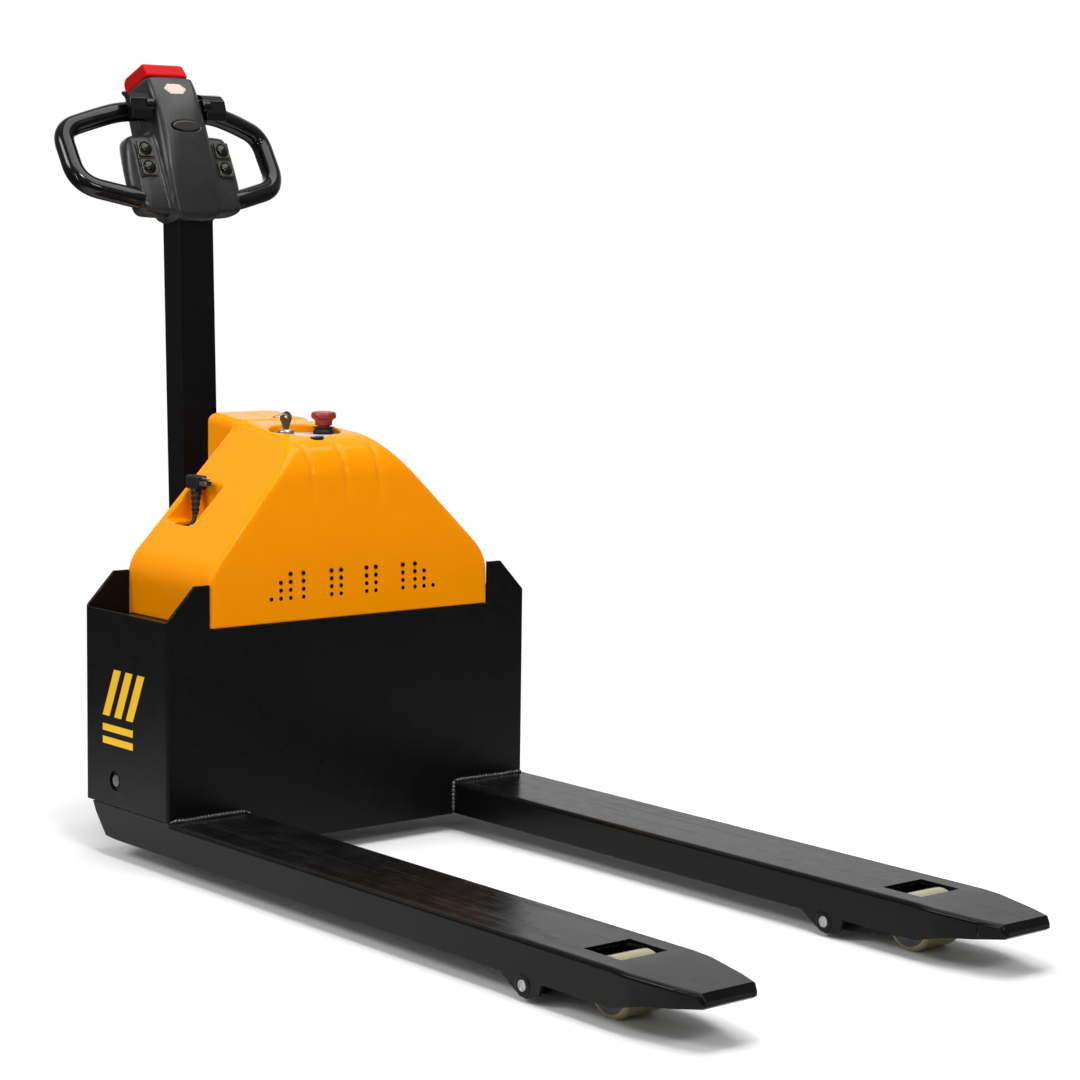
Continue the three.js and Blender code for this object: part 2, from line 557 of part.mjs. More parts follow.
function buildControls() {
  const floor = POCKET.floor + GAP;
  const plateTop = floor + 3;
  const panelEdge = ellipseShape(POCKET.x, POCKET.y, POCKET.rx - 1.5, POCKET.ry - 1.5);
  add('control_panel', prismZ(panelEdge, floor, plateTop, 14), GREY_PANEL);
  const base = plateTop + GAP;
  add('key_switch', latheZ([[0, base], [13, base], [13, base + 7], [11, base + 10], [0, base + 10]],
    LOCK.x, LOCK.y, 20), STEEL);
  const bow = prismX(linkShape(LOCK.y, base + 12, 5, LOCK.y, base + 28, 11), LOCK.x - 1.2, LOCK.x + 1.2, 8);
  const shank = box(LOCK.x - 1.2, LOCK.x + 1.2, LOCK.y - 4, LOCK.y + 4, base + 10 + GAP, base + 20);
  const ringHole = prismX(ellipseShape(LOCK.y, base + 31, 3, 3), LOCK.x - 4, LOCK.x + 4, 6);
  const lift = box(LOCK.x - 8, LOCK.x + 8, LOCK.y - 20, LOCK.y + 20, base, base + 10 + GAP);
  add('key', cut(join(bow, shank), ringHole, lift), STEEL);
  add('emergency_stop_base', latheZ([
    [10.8, base], [17, base], [17, base + 4], [14, base + 9], [10.8, base + 9], [10.8, base],
  ], STOP.x, STOP.y, 24), RUBBER);
  add('emergency_stop_button', latheZ([
    [0, base + 5], [10, base + 5], [10, base + 17], [18, base + 19], [20, base + 22], [20, base + 31],
    [17, base + 35], [0, base + 36.5],
  ], STOP.x, STOP.y, 24), DARK_RED);
  add('charge_indicator', prismZ(ellipseShape(-70, -23, 6.5, 12.5), 632, 647.5, 8), GLOSS_BLACK);
}

function buildElectrics() {
  const onShelf = CHASSIS.cutBottom + GAP;
  const flangeTop = onShelf + 3;
  const lead = leadRoute();
  const gland = lead[lead.length - 1];
  add('charger', join(
    box(-224, -13, -240, -75, onShelf, flangeTop),
    box(-212, -32, -232, -80, onShelf, 432),
    rodZ(9, 430, gland.z - GAP, gland.x, gland.y, 16),
  ), BATTERY_CASE);
  add('motor_controller', join(
    box(-224, -13, 75, 240, onShelf, flangeTop),
    box(-200, -40, 90, 225, onShelf, 418),
  ), CAST);
  add('pump_unit', join(
    box(-224, -13, -58, 58, onShelf, flangeTop),
    rodZ(44, onShelf, 510, -80, 0, 28),
    box(-210, -130, -50, 50, onShelf, 480),
    box(-140, -80, -25, 25, onShelf, 420),
  ), CAST);
}

// lead from the parked plug, through the slot in the recess, down to the charger's gland
function leadRoute() {
  return [[-183, -176.5, 523], [-178, -182, 514.5], [-171, -192, 505], [-168, -197, 492], [-168, -198, 470],
    [-168, -198, 446]].map((p) => new THREE.Vector3(...p));
}

function buildChargerLead() {
  const route = leadRoute();
  add('charger_lead', tube(new THREE.CatmullRomCurve3(route), 3.5, 22, 8), RUBBER);

  const head = box(-220, -184, -172, -152, 561, 583);
  const neckTop = new THREE.Vector3(-201, -162, 563);
  const neckEnd = new THREE.Vector3(-183.4, -175.8, 523.8);
  const axis = neckEnd.clone().sub(neckTop);
  const neck = new THREE.CylinderGeometry(9, 5, axis.length(), 14).translate(0, -axis.length() / 2, 0);
  neck.applyQuaternion(new THREE.Quaternion().setFromUnitVectors(
    new THREE.Vector3(0, -1, 0), axis.clone().normalize()));
  neck.translate(neckTop.x, neckTop.y, neckTop.z);
  const blades = [-168, -157.5].map((y) => box(-186, -164, y - 0.8, y + 0.8, 568, 575));
  add('charger_plug', join(head, neck, ...blades), RUBBER);
}

// ---------------------------------------------------------------- tiller
function buildColumn() {
  const column = new THREE.Group();
  column.position.set(TILLER.x, 0, TILLER.z);
  column.rotation.y = -LEAN(TILLER.lean);
  stations.add(column);
  const { halfX, halfY, top } = TILLER;
  const wall = 4;
  add('tiller_column', cut(
    join(box(-halfX, halfX, -halfY, halfY, 0, top), rodY(halfX, -halfY, halfY, 0, 0, 28)),
    box(-halfX + wall, halfX - wall, -halfY + wall, halfY - wall, 70, top + 5),
    rodY(10.4, -60, 60, 0, 0, 20),
  ), BLACK_PAINT, column);
}

// centre line of a handle bow, in the head's own axes
function bowPath(side) {
  const points = [[14, 90, 33], [14, 108, 37], [0.4, 195, 65], [-16.7, 195, 168], [1.6, 134, 183], [8, 96, 192],
    [9, 46, 196]];
  return roundedPath(points.map(([n, y, h]) => new THREE.Vector3(n, side * y, h)), 38);
}

function headOuter() {
  const spine = common(
    prismY([[36, -4], [46, 40], [52, 80], [58, 125], [60, 150], [57, 185], [50, 220], [42, 252], [-43, 252],
      [-46, 200], [-44, 120], [-38, 40], [-31, 7]], -60, 60),
    prismX(mirrored([[36, -4], [46, 36], [52, 80], [50, 144], [47, 175], [46, 228], [43, 252]]), -60, 70),
    prismZ([[62, -28], [62, 28], [44, 54], [-36, 54], [-50, 40], [-50, -40], [-36, -54], [44, -54]], -10, 260),
  );
  const pods = common(
    prismX(mirrored([[60, 2], [102, 12], [110, 44], [106, 104], [97, 142], [80, 152]]), -40, 40),
    prismY([[24, 0], [36, 40], [35, 120], [22, 154], [-30, 154], [-34, 40], [-28, 0]], -120, 120),
    prismZ([[37, -84], [37, 84], [14, 112], [4, 110], [-24, 84], [-36, 66], [-36, -66], [-24, -84], [4, -110],
      [14, -112]], -5, 160),
  );
  return join(spine, pods);
}

function buildHead() {
  const head = new THREE.Group();
  head.position.set(HEAD.x, 0, HEAD.z);
  head.rotation.y = -LEAN(HEAD.lean);
  stations.add(head);

  // room for the column, which enters the head from below at its own lean
  const roomX = TILLER.halfX + 0.6;
  const roomY = TILLER.halfY + 0.6;
  const columnRoom = box(-roomX, roomX, -roomY, roomY, -60, 31.5);
  columnRoom.rotateY(LEAN(HEAD.lean - TILLER.lean));
  const hollow = join(
    box(-30, 36, -38, 38, 10, 226),
    box(-22, 22, -94, 94, 22, 136),
    columnRoom,
  );
  const openings = [
    box(-40.6, 38.6, -40.6, 40.6, 238, 270),
    rodY(6, -60, 60, THROTTLE.n, THROTTLE.h, 16),
    prismX(ellipseShape(0, 148, 27.7, 9.7), 51, 80, 10),
    tube(bowPath(-1), BOW_RADIUS + 0.9, 30, 12),
    tube(bowPath(1), BOW_RADIUS + 0.9, 30, 12),
  ];
  const keys = { y: 75, rows: [['raise', 115], ['lower', 82]], radius: 11 };
  const seatDepth = 29.5;
  const seat = (y, h) => new THREE.CylinderGeometry(keys.radius + 0.9, keys.radius + 0.9, 20, 14)
    .rotateZ(-Math.PI / 2).translate(seatDepth + 10, y, h);
  for (const side of [-1, 1]) for (const row of keys.rows) openings.push(seat(side * keys.y, row[1]));

  const shell = cut(cut(headOuter(), hollow), ...openings);
  const far = 200;
  add('head_front_shell', common(shell, box(HEAD.split + GAP / 2, far, -far, far, -far, 300)), CHARCOAL, head);
  add('head_rear_shell', common(shell, box(-far, HEAD.split - GAP / 2, -far, far, -far, 300)), CHARCOAL, head);

  for (const [word, side] of SIDES) {
    add(`${word}_handle_bow`, weld(tube(bowPath(side), BOW_RADIUS, 30, 10)), GLOSS_BLACK, head);
    for (const [use, h] of keys.rows) {
      const button = latheZ([[0, 32.3], [keys.radius, 32.3], [keys.radius, 36.5], [7, 40], [0, 41.5]], 0, 0, 14)
        .rotateY(Math.PI / 2).translate(0, side * keys.y, h);
      add(`${word}_${use}_button`, button, RUBBER, head);
    }
  }

  const paddle = [[37, 168], [45, 166], [50, 178], [51, 200], [44, 212], [33, 219], [28, 217], [36, 205],
    [36, 180]];
  add('throttle', join(
    rodY(5, -92, 92, THROTTLE.n, THROTTLE.h, 16),
    prismY(paddle, -93, -53),
    prismY(paddle, 53, 93),
  ), GLOSS_BLACK, head);
  const cap = 39.8;
  const capOutline = [[cap - 2, 246], [cap - 2, 252], [30, 272], [26, 274], [-30, 274], [-38, 269], [-cap, 262],
    [-cap, 246]];
  add('belly_button', prismY(capOutline, -cap, cap), RED, head);
  add('horn_button', prismX(ellipseShape(0, 148, 27, 9), 54.5, 61.5, 10), GLOSS_BLACK, head);
}

// ---------------------------------------------------------------- assembly
buildBatteryBox();
buildCrankShaft();
buildCarrier();
buildDriveUnit();
buildCover();
buildControls();
buildElectrics();
buildChargerLead();
buildColumn();
buildHead();
for (const [word, side] of SIDES) {
  buildFork(word, side);
  buildPushRod(word, side);
  buildRocker(word, side);
  buildCaster(word, side);
}

palletJack.updateMatrixWorld(true);
const bounds = new THREE.Box3().setFromObject(palletJack, true);
stations.position.x = -(bounds.min.x + bounds.max.x) / 2;

export default palletJack;
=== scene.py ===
"""Looks of a walk-behind electric pallet jack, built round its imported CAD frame.

Stations are millimetres: x from the front plate's outer face, towards the fork tips, y to the truck's
right side and z up. Blender objects are in metres, in the frame's own axes."""

import json
import math

import bmesh
import bpy
import numpy as np
from mathutils import Matrix, Vector


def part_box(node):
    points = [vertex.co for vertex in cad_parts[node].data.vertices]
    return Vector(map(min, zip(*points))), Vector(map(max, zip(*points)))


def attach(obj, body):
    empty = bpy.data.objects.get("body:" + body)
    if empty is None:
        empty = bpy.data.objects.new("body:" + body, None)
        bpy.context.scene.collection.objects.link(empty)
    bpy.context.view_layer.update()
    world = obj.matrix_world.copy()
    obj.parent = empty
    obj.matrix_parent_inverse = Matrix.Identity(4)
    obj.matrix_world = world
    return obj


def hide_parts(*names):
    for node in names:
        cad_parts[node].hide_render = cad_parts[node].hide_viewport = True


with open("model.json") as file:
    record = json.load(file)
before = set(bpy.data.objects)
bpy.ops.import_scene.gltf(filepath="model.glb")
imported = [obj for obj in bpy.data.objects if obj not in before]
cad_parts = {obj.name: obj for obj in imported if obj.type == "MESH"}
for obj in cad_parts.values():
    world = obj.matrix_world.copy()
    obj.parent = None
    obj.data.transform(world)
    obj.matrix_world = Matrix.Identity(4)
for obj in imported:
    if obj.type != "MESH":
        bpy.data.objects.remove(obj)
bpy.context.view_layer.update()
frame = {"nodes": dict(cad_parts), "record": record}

MM = 0.001
MERGE = 1e-5  # metres within which two vertices are one
FRONT_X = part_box("front_plate")[1].x
BODY_OF = {n: b for b, nodes in frame["record"]["behaviour"]["bodies"].items() for n in nodes}
SLOT_OF = {row["node"]: row["material_slot"] for row in frame["record"]["subparts"]}
SIDES = (("left", -1), ("right", 1))
PLATES = ("front_plate", "rear_plate", "left_side_plate", "right_side_plate")


def at(x, y, z):
    """A station in millimetres, as a point in the row frame."""
    return Vector((FRONT_X + x * MM, y * MM, z * MM))


# stations of the object's driving places, in millimetres
BOX_HALF = 342.5  # |y| of the battery box's sides
FORK_MIDDLE = 271  # |y| of a fork's centre line
ROLLER_X, ROLLER_Z = 965, 40
ROCKER_X, ROCKER_Z = 841, 22
SHAFT_X, SHAFT_Z = -151, 123
CASTER_X, CASTER_Y, CASTER_Z = -320, 190, 40
HEAD_X, HEAD_Z = -480, 979
HEAD_LEAN, COLUMN_LEAN = 23, 1.98  # degrees back from upright

STATIONS = Matrix.Translation(at(0, 0, 0)) @ Matrix.Scale(MM, 4)
# the tiller head's own axes in millimetres: n forwards out of its face, y to the right, h up along it
HEAD = (Matrix.Translation(at(HEAD_X, 0, HEAD_Z)) @ Matrix.Rotation(math.radians(-HEAD_LEAN), 4, "Y")
        @ Matrix.Scale(MM, 4))


def add_object(name, data):
    """A new object in the scene."""
    obj = bpy.data.objects.new(name, data)
    bpy.context.scene.collection.objects.link(obj)
    return obj


# ---- camera
def make_camera():
    """Stands ahead of the forks on the truck's left, a little above the floor, looking slightly down."""
    yaw, pitch, roll = math.radians(-39.74), math.radians(-6.45), math.radians(0.75)
    forward = Vector((-math.cos(yaw) * math.cos(pitch), -math.sin(yaw) * math.cos(pitch), math.sin(pitch)))
    level = forward.cross(Vector((0, 0, 1))).normalized()
    upright = level.cross(forward)
    right = level * math.cos(roll) + upright * math.sin(roll)
    up = upright * math.cos(roll) - level * math.sin(roll)
    camera = add_object("camera", bpy.data.cameras.new("camera"))
    camera.matrix_world = Matrix.Translation((3.2116, -2.5139, 0.9768)) @ Matrix(
        (right, up, -forward)).transposed().to_4x4()
    camera.data.sensor_width = 36
    camera.data.lens = 92
    bpy.context.scene.camera = camera


# ---- materials
class Nodes:
    """Shorthand for building a node tree."""

    def __init__(self, tree):
        self.tree = tree

    def add(self, kind, inputs=(), **settings):
        node = self.tree.nodes.new("ShaderNode" + kind)
        for key, value in settings.items():
            setattr(node, key, value)
        for key, value in dict(inputs).items():
            if isinstance(value, bpy.types.NodeSocket):
                self.tree.links.new(value, node.inputs[key])
            else:
                node.inputs[key].default_value = value
        return node

    def noise(self, where, scale, detail=3.0, roughness=0.5):
        made = self.add("TexNoise", {"Vector": where, "Scale": scale, "Detail": detail, "Roughness": roughness})
        return made.outputs["Fac"]

    def ramp(self, value, low, high, to_low=0.0, to_high=1.0):
        made = self.add("MapRange", {
            "Value": value, "From Min": low, "From Max": high, "To Min": to_low, "To Max": to_high})
        return made.outputs["Result"]

    def math(self, operation, a, b):
        return self.add("Math", {0: a, 1: b}, operation=operation).outputs[0]

    def mix(self, share, a, b):
        return self.add("MixRGB", {0: share, 1: a, 2: b}).outputs[0]


DUST, SCUFF, BARE_STEEL = (0.34, 0.32, 0.29), (0.16, 0.155, 0.15), (0.30, 0.29, 0.28)


def rgba(color, factor=1.0):
    return tuple(min(1.0, c * factor) for c in color) + (1.0,)


def surface(name, color, rough, metal=0.0, coat=0.0, specular=0.5, mottle=0.12, grain=(900.0, 0.15, 0.05),
            smudge=0.25, worn=None, wear=0.0, dust=0.0, streaks=0.0, brushed=None):
    """A procedural finish: mottled colour, smudged roughness and fine grain, with worn edges and dust on request.

    grain is (scale, strength, depth in mm); worn is the colour under the finish; streaks are scuffs along X on
    faces that look up; brushed stretches the grain along an axis."""
    made = bpy.data.materials.new(name)
    made.use_nodes = True
    made.node_tree.nodes.clear()
    n = Nodes(made.node_tree)
    place = n.add("TexCoord").outputs["Object"]
    place_grain = n.add("Mapping", {"Vector": place, "Scale": brushed}).outputs["Vector"] if brushed else place
    cloud = n.noise(place, 9.0, 4.0, 0.6)
    colour = n.mix(n.ramp(cloud, 0.3, 0.7), rgba(color, 1 - mottle), rgba(color, 1 + mottle))
    patches = n.noise(place, 38.0, 5.0, 0.65)
    roughness = n.ramp(patches, 0.3, 0.75, max(0.03, rough * (1 - smudge)), min(1.0, rough * (1 + smudge)))
    normal_z = n.add("SeparateXYZ", {0: n.add("NewGeometry").outputs["Normal"]}).outputs["Z"]
    if dust:
        settled = n.math("MULTIPLY", n.ramp(normal_z, 0.3, 1.0), n.ramp(n.noise(place, 25.0, 6.0), 0.35, 0.8))
        colour = n.mix(n.math("MULTIPLY", settled, dust), colour, rgba(DUST))
    if streaks:
        along = n.add("Mapping", {"Vector": place, "Scale": (3.0, 60.0, 10.0)}).outputs["Vector"]
        scuffs = n.math("MULTIPLY", n.ramp(n.noise(along, 1.6, 8.0, 0.7), 0.52, 0.8), n.ramp(normal_z, 0.7, 1.0))
        colour = n.mix(n.math("MULTIPLY", scuffs, streaks), colour, rgba(SCUFF))
        roughness = n.math("ADD", roughness, n.math("MULTIPLY", scuffs, 0.25))
    if worn:
        rounded = n.add("Bevel", {"Radius": 0.0016}, samples=6).outputs["Normal"]
        facing = n.add("VectorMath", {0: rounded, 1: n.add("NewGeometry").outputs["Normal"]},
                       operation="DOT_PRODUCT").outputs["Value"]
        edges = n.ramp(facing, 0.995, 0.90)
        chipped = n.math("MULTIPLY", edges, n.ramp(n.noise(place, 160.0, 6.0, 0.7), 0.48, 0.62))
        colour = n.mix(n.math("MULTIPLY", chipped, wear), colour, rgba(worn))
    scale, strength, depth = grain
    fine = n.noise(place_grain, scale, 2.0)
    bump = n.add("Bump", {"Height": fine, "Strength": strength, "Distance": depth * MM}).outputs["Normal"]
    shader = n.add("BsdfPrincipled", {
        "Base Color": colour, "Roughness": roughness, "Metallic": metal, "Coat Weight": coat,
        "Coat Roughness": 0.08, "Specular IOR Level": specular, "Normal": bump})
    n.add("OutputMaterial", {"Surface": shader.outputs[0]})
    return made


FINISH = {name: surface(name, color, rough, **looks) for name, color, rough, looks in (
    ("black_paint", (0.0034, 0.0034, 0.0036), 0.34,
     dict(specular=0.1, grain=(1400, 0.35, 0.06), worn=BARE_STEEL, wear=0.3, dust=0.01)),
    ("fork_paint", (0.0034, 0.0034, 0.0036), 0.22,
     dict(specular=0.1, grain=(1100, 0.4, 0.06), worn=BARE_STEEL, wear=0.22, dust=0.02, streaks=0.05)),
    ("weld_paint", (0.010, 0.010, 0.010), 0.14, dict(coat=0.5, grain=(600, 0.6, 0.2))),
    ("yellow_cover", (0.84, 0.262, 0.0), 0.12,
     dict(specular=0.08, coat=0.02, mottle=0.02, grain=(700, 0.05, 0.04), smudge=0.3)),
    ("charcoal_plastic", (0.016, 0.0165, 0.0175), 0.31,
     dict(specular=0.28, mottle=0.08, grain=(1600, 0.5, 0.06), worn=(0.10, 0.10, 0.105), wear=0.4, dust=0.02)),
    ("gloss_black", (0.003, 0.003, 0.0032), 0.10, dict(specular=0.3, grain=(500, 0.05, 0.03))),
    ("black_rubber", (0.007, 0.007, 0.007), 0.5, dict(specular=0.25, grain=(1500, 0.6, 0.08))),
    ("tyre_rubber", (0.014, 0.014, 0.014), 0.75, dict(grain=(700, 0.8, 0.2), dust=0.15)),
    ("cream_roller", (0.21, 0.185, 0.085), 0.2, dict(coat=0.3, mottle=0.14, grain=(260, 0.4, 0.1), dust=0.15)),
    ("zinc_steel", (0.34, 0.34, 0.33), 0.36,
     dict(metal=1.0, grain=(600, 0.3, 0.05), brushed=(1, 12, 1), mottle=0.08)),
    ("cast_metal", (0.05, 0.05, 0.053), 0.55,
     dict(metal=0.3, grain=(300, 0.9, 0.25), worn=BARE_STEEL, wear=0.4, dust=0.1)),
    ("red_plastic", (0.42, 0.003, 0.004), 0.36, dict(specular=0.08, mottle=0.05, grain=(900, 0.06, 0.03))),
    ("dark_red_plastic", (0.26, 0.022, 0.016), 0.3, dict(mottle=0.06, grain=(900, 0.2, 0.04))),
    ("grey_panel", (0.46, 0.48, 0.47), 0.4, dict(mottle=0.05, grain=(900, 0.3, 0.04))),
    ("battery_case", (0.022, 0.024, 0.028), 0.5, dict(grain=(800, 0.6, 0.08), dust=0.15)),
    ("brass", (0.40, 0.31, 0.17), 0.28, dict(metal=1.0, grain=(900, 0.3, 0.03), brushed=(12, 1, 1))),
    # a darker steel tone than the zinc, used on the shaft ends' caps
    ("dark_steel", (0.15, 0.145, 0.14), 0.42, dict(metal=0.8, grain=(600, 0.3, 0.05), mottle=0.15)),
    # painted reflection: the bezel finish's brown tone stands in for a warm reflection on dark glossy bezels
    ("bezel", (0.045, 0.037, 0.024), 0.22, dict(coat=0.4, grain=(900, 0.1, 0.02))),
    ("decal_yellow", (0.80, 0.46, 0.012), 0.35, dict(specular=0.3, mottle=0.04, grain=(900, 0.2, 0.02))),
    ("sticker", (0.50, 0.40, 0.38), 0.4, dict(specular=0.3, mottle=0.05, grain=(900, 0.2, 0.02))),
    ("lens", (0.016, 0.013, 0.010), 0.1, dict(coat=0.5, mottle=0.1, grain=(900, 0.1, 0.02))),
)}


# ---- meshes and pieces
def mesh_from(name, vertices, faces, matrix=None):
    mesh = bpy.data.meshes.new(name)
    mesh.from_pydata([tuple(v) for v in vertices], [], [tuple(f) for f in faces])
    if matrix is not None:
        mesh.transform(matrix)
    mesh.update()
    return mesh


def piece(name, mesh, body, slot, finish=None, stands_for=(), smooth=30.0, bevel=None):
    """Puts a mesh in the scene as a piece that rides on a body; bevel is (width in mm, segments)."""
    obj = add_object(name, mesh)
    mesh.materials.clear()
    mesh.materials.append(FINISH[finish or slot])
    mesh.shade_smooth()
    if smooth < 180:
        mesh.set_sharp_from_angle(angle=math.radians(smooth))
    if bevel:
        width, segments = bevel
        rounding = obj.modifiers.new("rounding", "BEVEL")
        rounding.width = width * MM
        rounding.segments = segments
        rounding.limit_method = "ANGLE"
        rounding.angle_limit = math.radians(28)
        rounding.miter_outer = "MITER_ARC"
        flat = obj.modifiers.new("flat_faces", "WEIGHTED_NORMAL")
        flat.weight = 100
        flat.keep_sharp = True
    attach(obj, body)
    if stands_for:
        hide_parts(*stands_for)
    return obj


def stand_in(node, mesh, finish=None, **edges):
    """A piece that is shown in place of a CAD node."""
    return piece(f"{node}_form", mesh, BODY_OF[node], SLOT_OF[node], finish, (node,), **edges)


def merged(mesh):
    """A mesh for editing, with its doubled vertices merged."""
    bm = bmesh.new()
    bm.from_mesh(mesh)
    bmesh.ops.remove_doubles(bm, verts=bm.verts, dist=MERGE)
    return bm


def flattened(mesh):
    """A mesh for editing, with its vertices merged and its flat faces whole."""
    bm = merged(mesh)
    bmesh.ops.dissolve_limit(bm, angle_limit=math.radians(0.5), verts=bm.verts, edges=bm.edges)
    return bm


def cad_mesh(node):
    return frame["nodes"][node].data


def to_mesh(bm, name):
    mesh = bpy.data.meshes.new(name)
    bm.to_mesh(mesh)
    bm.free()
    return mesh


def skin(node, width=0.8, segments=2, finish=None):
    """A CAD node's shape with rounded edges."""
    stand_in(node, to_mesh(flattened(cad_mesh(node)), node), finish, bevel=(width, segments))


def meridian(bm, axis, centre):
    """The profile of a turned CAD node, as ordered (radius, height) points, and whether it closes on itself."""
    first, second = [i for i in range(3) if i != axis]

    def radius(v):
        return math.hypot(v.co[first] - centre[first], v.co[second] - centre[second])

    def turn(v):
        return math.atan2(v.co[second] - centre[second], v.co[first] - centre[first])

    outer = max(bm.verts, key=radius)
    on_line = {v for v in bm.verts if radius(v) < MERGE or abs(turn(v) - turn(outer)) < 1e-3}
    chain = [outer]
    seen = {outer}
    for grow_front in (False, True):
        while True:
            tip = chain[0] if grow_front else chain[-1]
            ahead = [e.other_vert(tip) for e in tip.link_edges if e.other_vert(tip) in on_line - seen]
            if not ahead:
                break
            chain.insert(0, ahead[0]) if grow_front else chain.append(ahead[0])
            seen.add(ahead[0])
    closed = any(e.other_vert(chain[0]) is chain[-1] for e in chain[0].link_edges) and len(chain) > 2
    return [(radius(v), v.co[axis]) for v in chain], closed


def lathe(name, profile, closed, axis, centre, sides):
    """Turns a profile of (radius, height) about an axis through centre, all in metres."""
    first, second = [i for i in range(3) if i != axis]
    vertices, rings = [], []
    for radius, height in profile:
        count = 1 if radius < MERGE else sides
        rings.append(range(len(vertices), len(vertices) + count))
        for i in range(count):
            place = [0.0, 0.0, 0.0]
            place[axis] = height
            place[first] = centre[first] + radius * math.cos(2 * math.pi * i / sides)
            place[second] = centre[second] + radius * math.sin(2 * math.pi * i / sides)
            vertices.append(place)
    faces = []
    pairs = list(zip(rings, rings[1:])) + ([(rings[-1], rings[0])] if closed else [])
    for a, b in pairs:
        for i in range(sides):
            j = (i + 1) % sides
            corners = list(dict.fromkeys((a[i % len(a)], a[j % len(a)], b[j % len(b)], b[i % len(b)])))
            if len(corners) > 2:
                faces.append(corners)
    mesh = mesh_from(name, vertices, faces)
    bm = bmesh.new()
    bm.from_mesh(mesh)
    bmesh.ops.recalc_face_normals(bm, faces=bm.faces)
    bm.to_mesh(mesh)
    bm.free()
    return mesh


def turned(node, axis, width, segments):
    """A turned CAD node, made round."""
    bm = merged(cad_mesh(node))
    low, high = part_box(node)
    centre = (low + high) / 2
    profile, closed = meridian(bm, axis, centre)
    bm.free()
    stand_in(node, lathe(node, profile, closed, axis, centre, 96), bevel=(width, segments))


def round_piece(name, profile, axis, centre, closed=True, sides=64, matrix=STATIONS):
    """Turns a profile of (radius, height) in millimetres about an axis through centre."""
    index = "XYZ".index(axis)
    place = list(centre)
    place.insert(index, 0)
    mesh = lathe(name, profile, closed, index, place, sides)
    mesh.transform(matrix)
    if matrix.determinant() < 0:
        mesh.flip_normals()
    return mesh


def rounded_path(points, radius, steps):
    """Straight runs joined by rounded corners, as a dense list of points."""
    points = [Vector(p) for p in points]
    path = [points[0]]
    for before, corner, after in zip(points, points[1:], points[2:]):
        inward, outward = before - corner, after - corner
        reach = min(radius, inward.length * 0.45, outward.length * 0.45)
        start, end = corner + inward.normalized() * reach, corner + outward.normalized() * reach
        for i in range(steps + 1):
            t = i / steps
            path.append(start * (1 - t) ** 2 + corner * 2 * t * (1 - t) + end * t * t)
    path.append(points[-1])
    return path


def sweep(name, path, radius, sides, matrix):
    """A closed tube along path; radius is a number or a function of the share of the length."""
    path = [Vector(p) for p in path]
    reach = [0.0]
    for a, b in zip(path, path[1:]):
        reach.append(reach[-1] + (b - a).length)
    vertices, faces = [], []
    side = None
    for i, point in enumerate(path):
        along = (path[min(i + 1, len(path) - 1)] - path[max(i - 1, 0)]).normalized()
        if side is None:
            side = along.orthogonal().normalized()
        side = (side - along * side.dot(along)).normalized()
        other = along.cross(side)
        r = radius(reach[i] / reach[-1]) if callable(radius) else radius
        for k in range(sides):
            turn = 2 * math.pi * k / sides
            vertices.append(point + (side * math.cos(turn) + other * math.sin(turn)) * r)
    for i in range(len(path) - 1):
        for k in range(sides):
            j = (k + 1) % sides
            faces.append((i * sides + k, i * sides + j, (i + 1) * sides + j, (i + 1) * sides + k))
    faces.append(tuple(range(sides))[::-1])
    faces.append(tuple(range((len(path) - 1) * sides, len(path) * sides)))
    return mesh_from(name, vertices, faces, matrix)


def rectangle(x0, y0, x1, y1):
    return [(x0, y0), (x1, y0), (x1, y1), (x0, y1)]


def arc(radius, start, end, points):
    """Places on an arc about the origin, with both its ends; the angles are in quarter turns."""
    turns = np.linspace(start * math.pi / 2, end * math.pi / 2, points)
    return [(radius * math.cos(t), radius * math.sin(t)) for t in turns]


def plate(name, outline, thickness, matrix):
    """A flat outline in (x, y), given a thickness along z."""
    count = len(outline)
    vertices = [(x, y, 0.0) for x, y in outline] + [(x, y, thickness) for x, y in outline]
    faces = [tuple(range(count))[::-1], tuple(range(count, 2 * count))]
    faces += [(i, (i + 1) % count, count + (i + 1) % count, count + i) for i in range(count)]
    return mesh_from(name, vertices, faces, matrix)


def joined(name, meshes):
    """One mesh of several, which are used up."""
    bm = bmesh.new()
    for mesh in meshes:
        bm.from_mesh(mesh)
        bpy.data.meshes.remove(mesh)
    return to_mesh(bm, name)


def combine(name, base, others, operation):
    """Boolean of a mesh with other meshes, which are used up."""
    host = add_object("host", base)
    tools = []
    for mesh in others:
        tool = add_object("tool", mesh)
        step = host.modifiers.new("step", "BOOLEAN")
        step.operation = operation
        step.object = tool
        step.solver = "EXACT"
        tools.append(tool)
    bpy.context.view_layer.update()
    result = bpy.data.meshes.new_from_object(host.evaluated_get(bpy.context.evaluated_depsgraph_get()))
    result.name = name
    for obj in (host, *tools):
        used = obj.data
        bpy.data.objects.remove(obj)
        bpy.data.meshes.remove(used)
    return result


# ---- moulded shapes from distance fields
def blend_max(a, b, width):
    """The larger of two fields, rounded where they meet."""
    near = np.maximum(width - np.abs(a - b), 0)
    return np.maximum(a, b) + near * near / (4 * width)


def blend_min(a, b, width):
    return -blend_max(-a, -b, width)


def outline_field(a, b, points):
    """Signed distance to a closed outline in (a, b), negative inside."""
    nearest = np.full(np.broadcast(a, b).shape, 1e12)
    inside = np.zeros(nearest.shape, bool)
    for (px, py), (qx, qy) in zip(points, points[1:] + points[:1]):
        ex, ey = qx - px, qy - py
        t = np.clip(((a - px) * ex + (b - py) * ey) / (ex * ex + ey * ey), 0, 1)
        nearest = np.minimum(nearest, (a - px - ex * t) ** 2 + (b - py - ey * t) ** 2)
        if ey:
            inside ^= ((py > b) != (qy > b)) & (a < px + ex * (b - py) / ey)
    return np.where(inside, -1, 1) * np.sqrt(nearest)


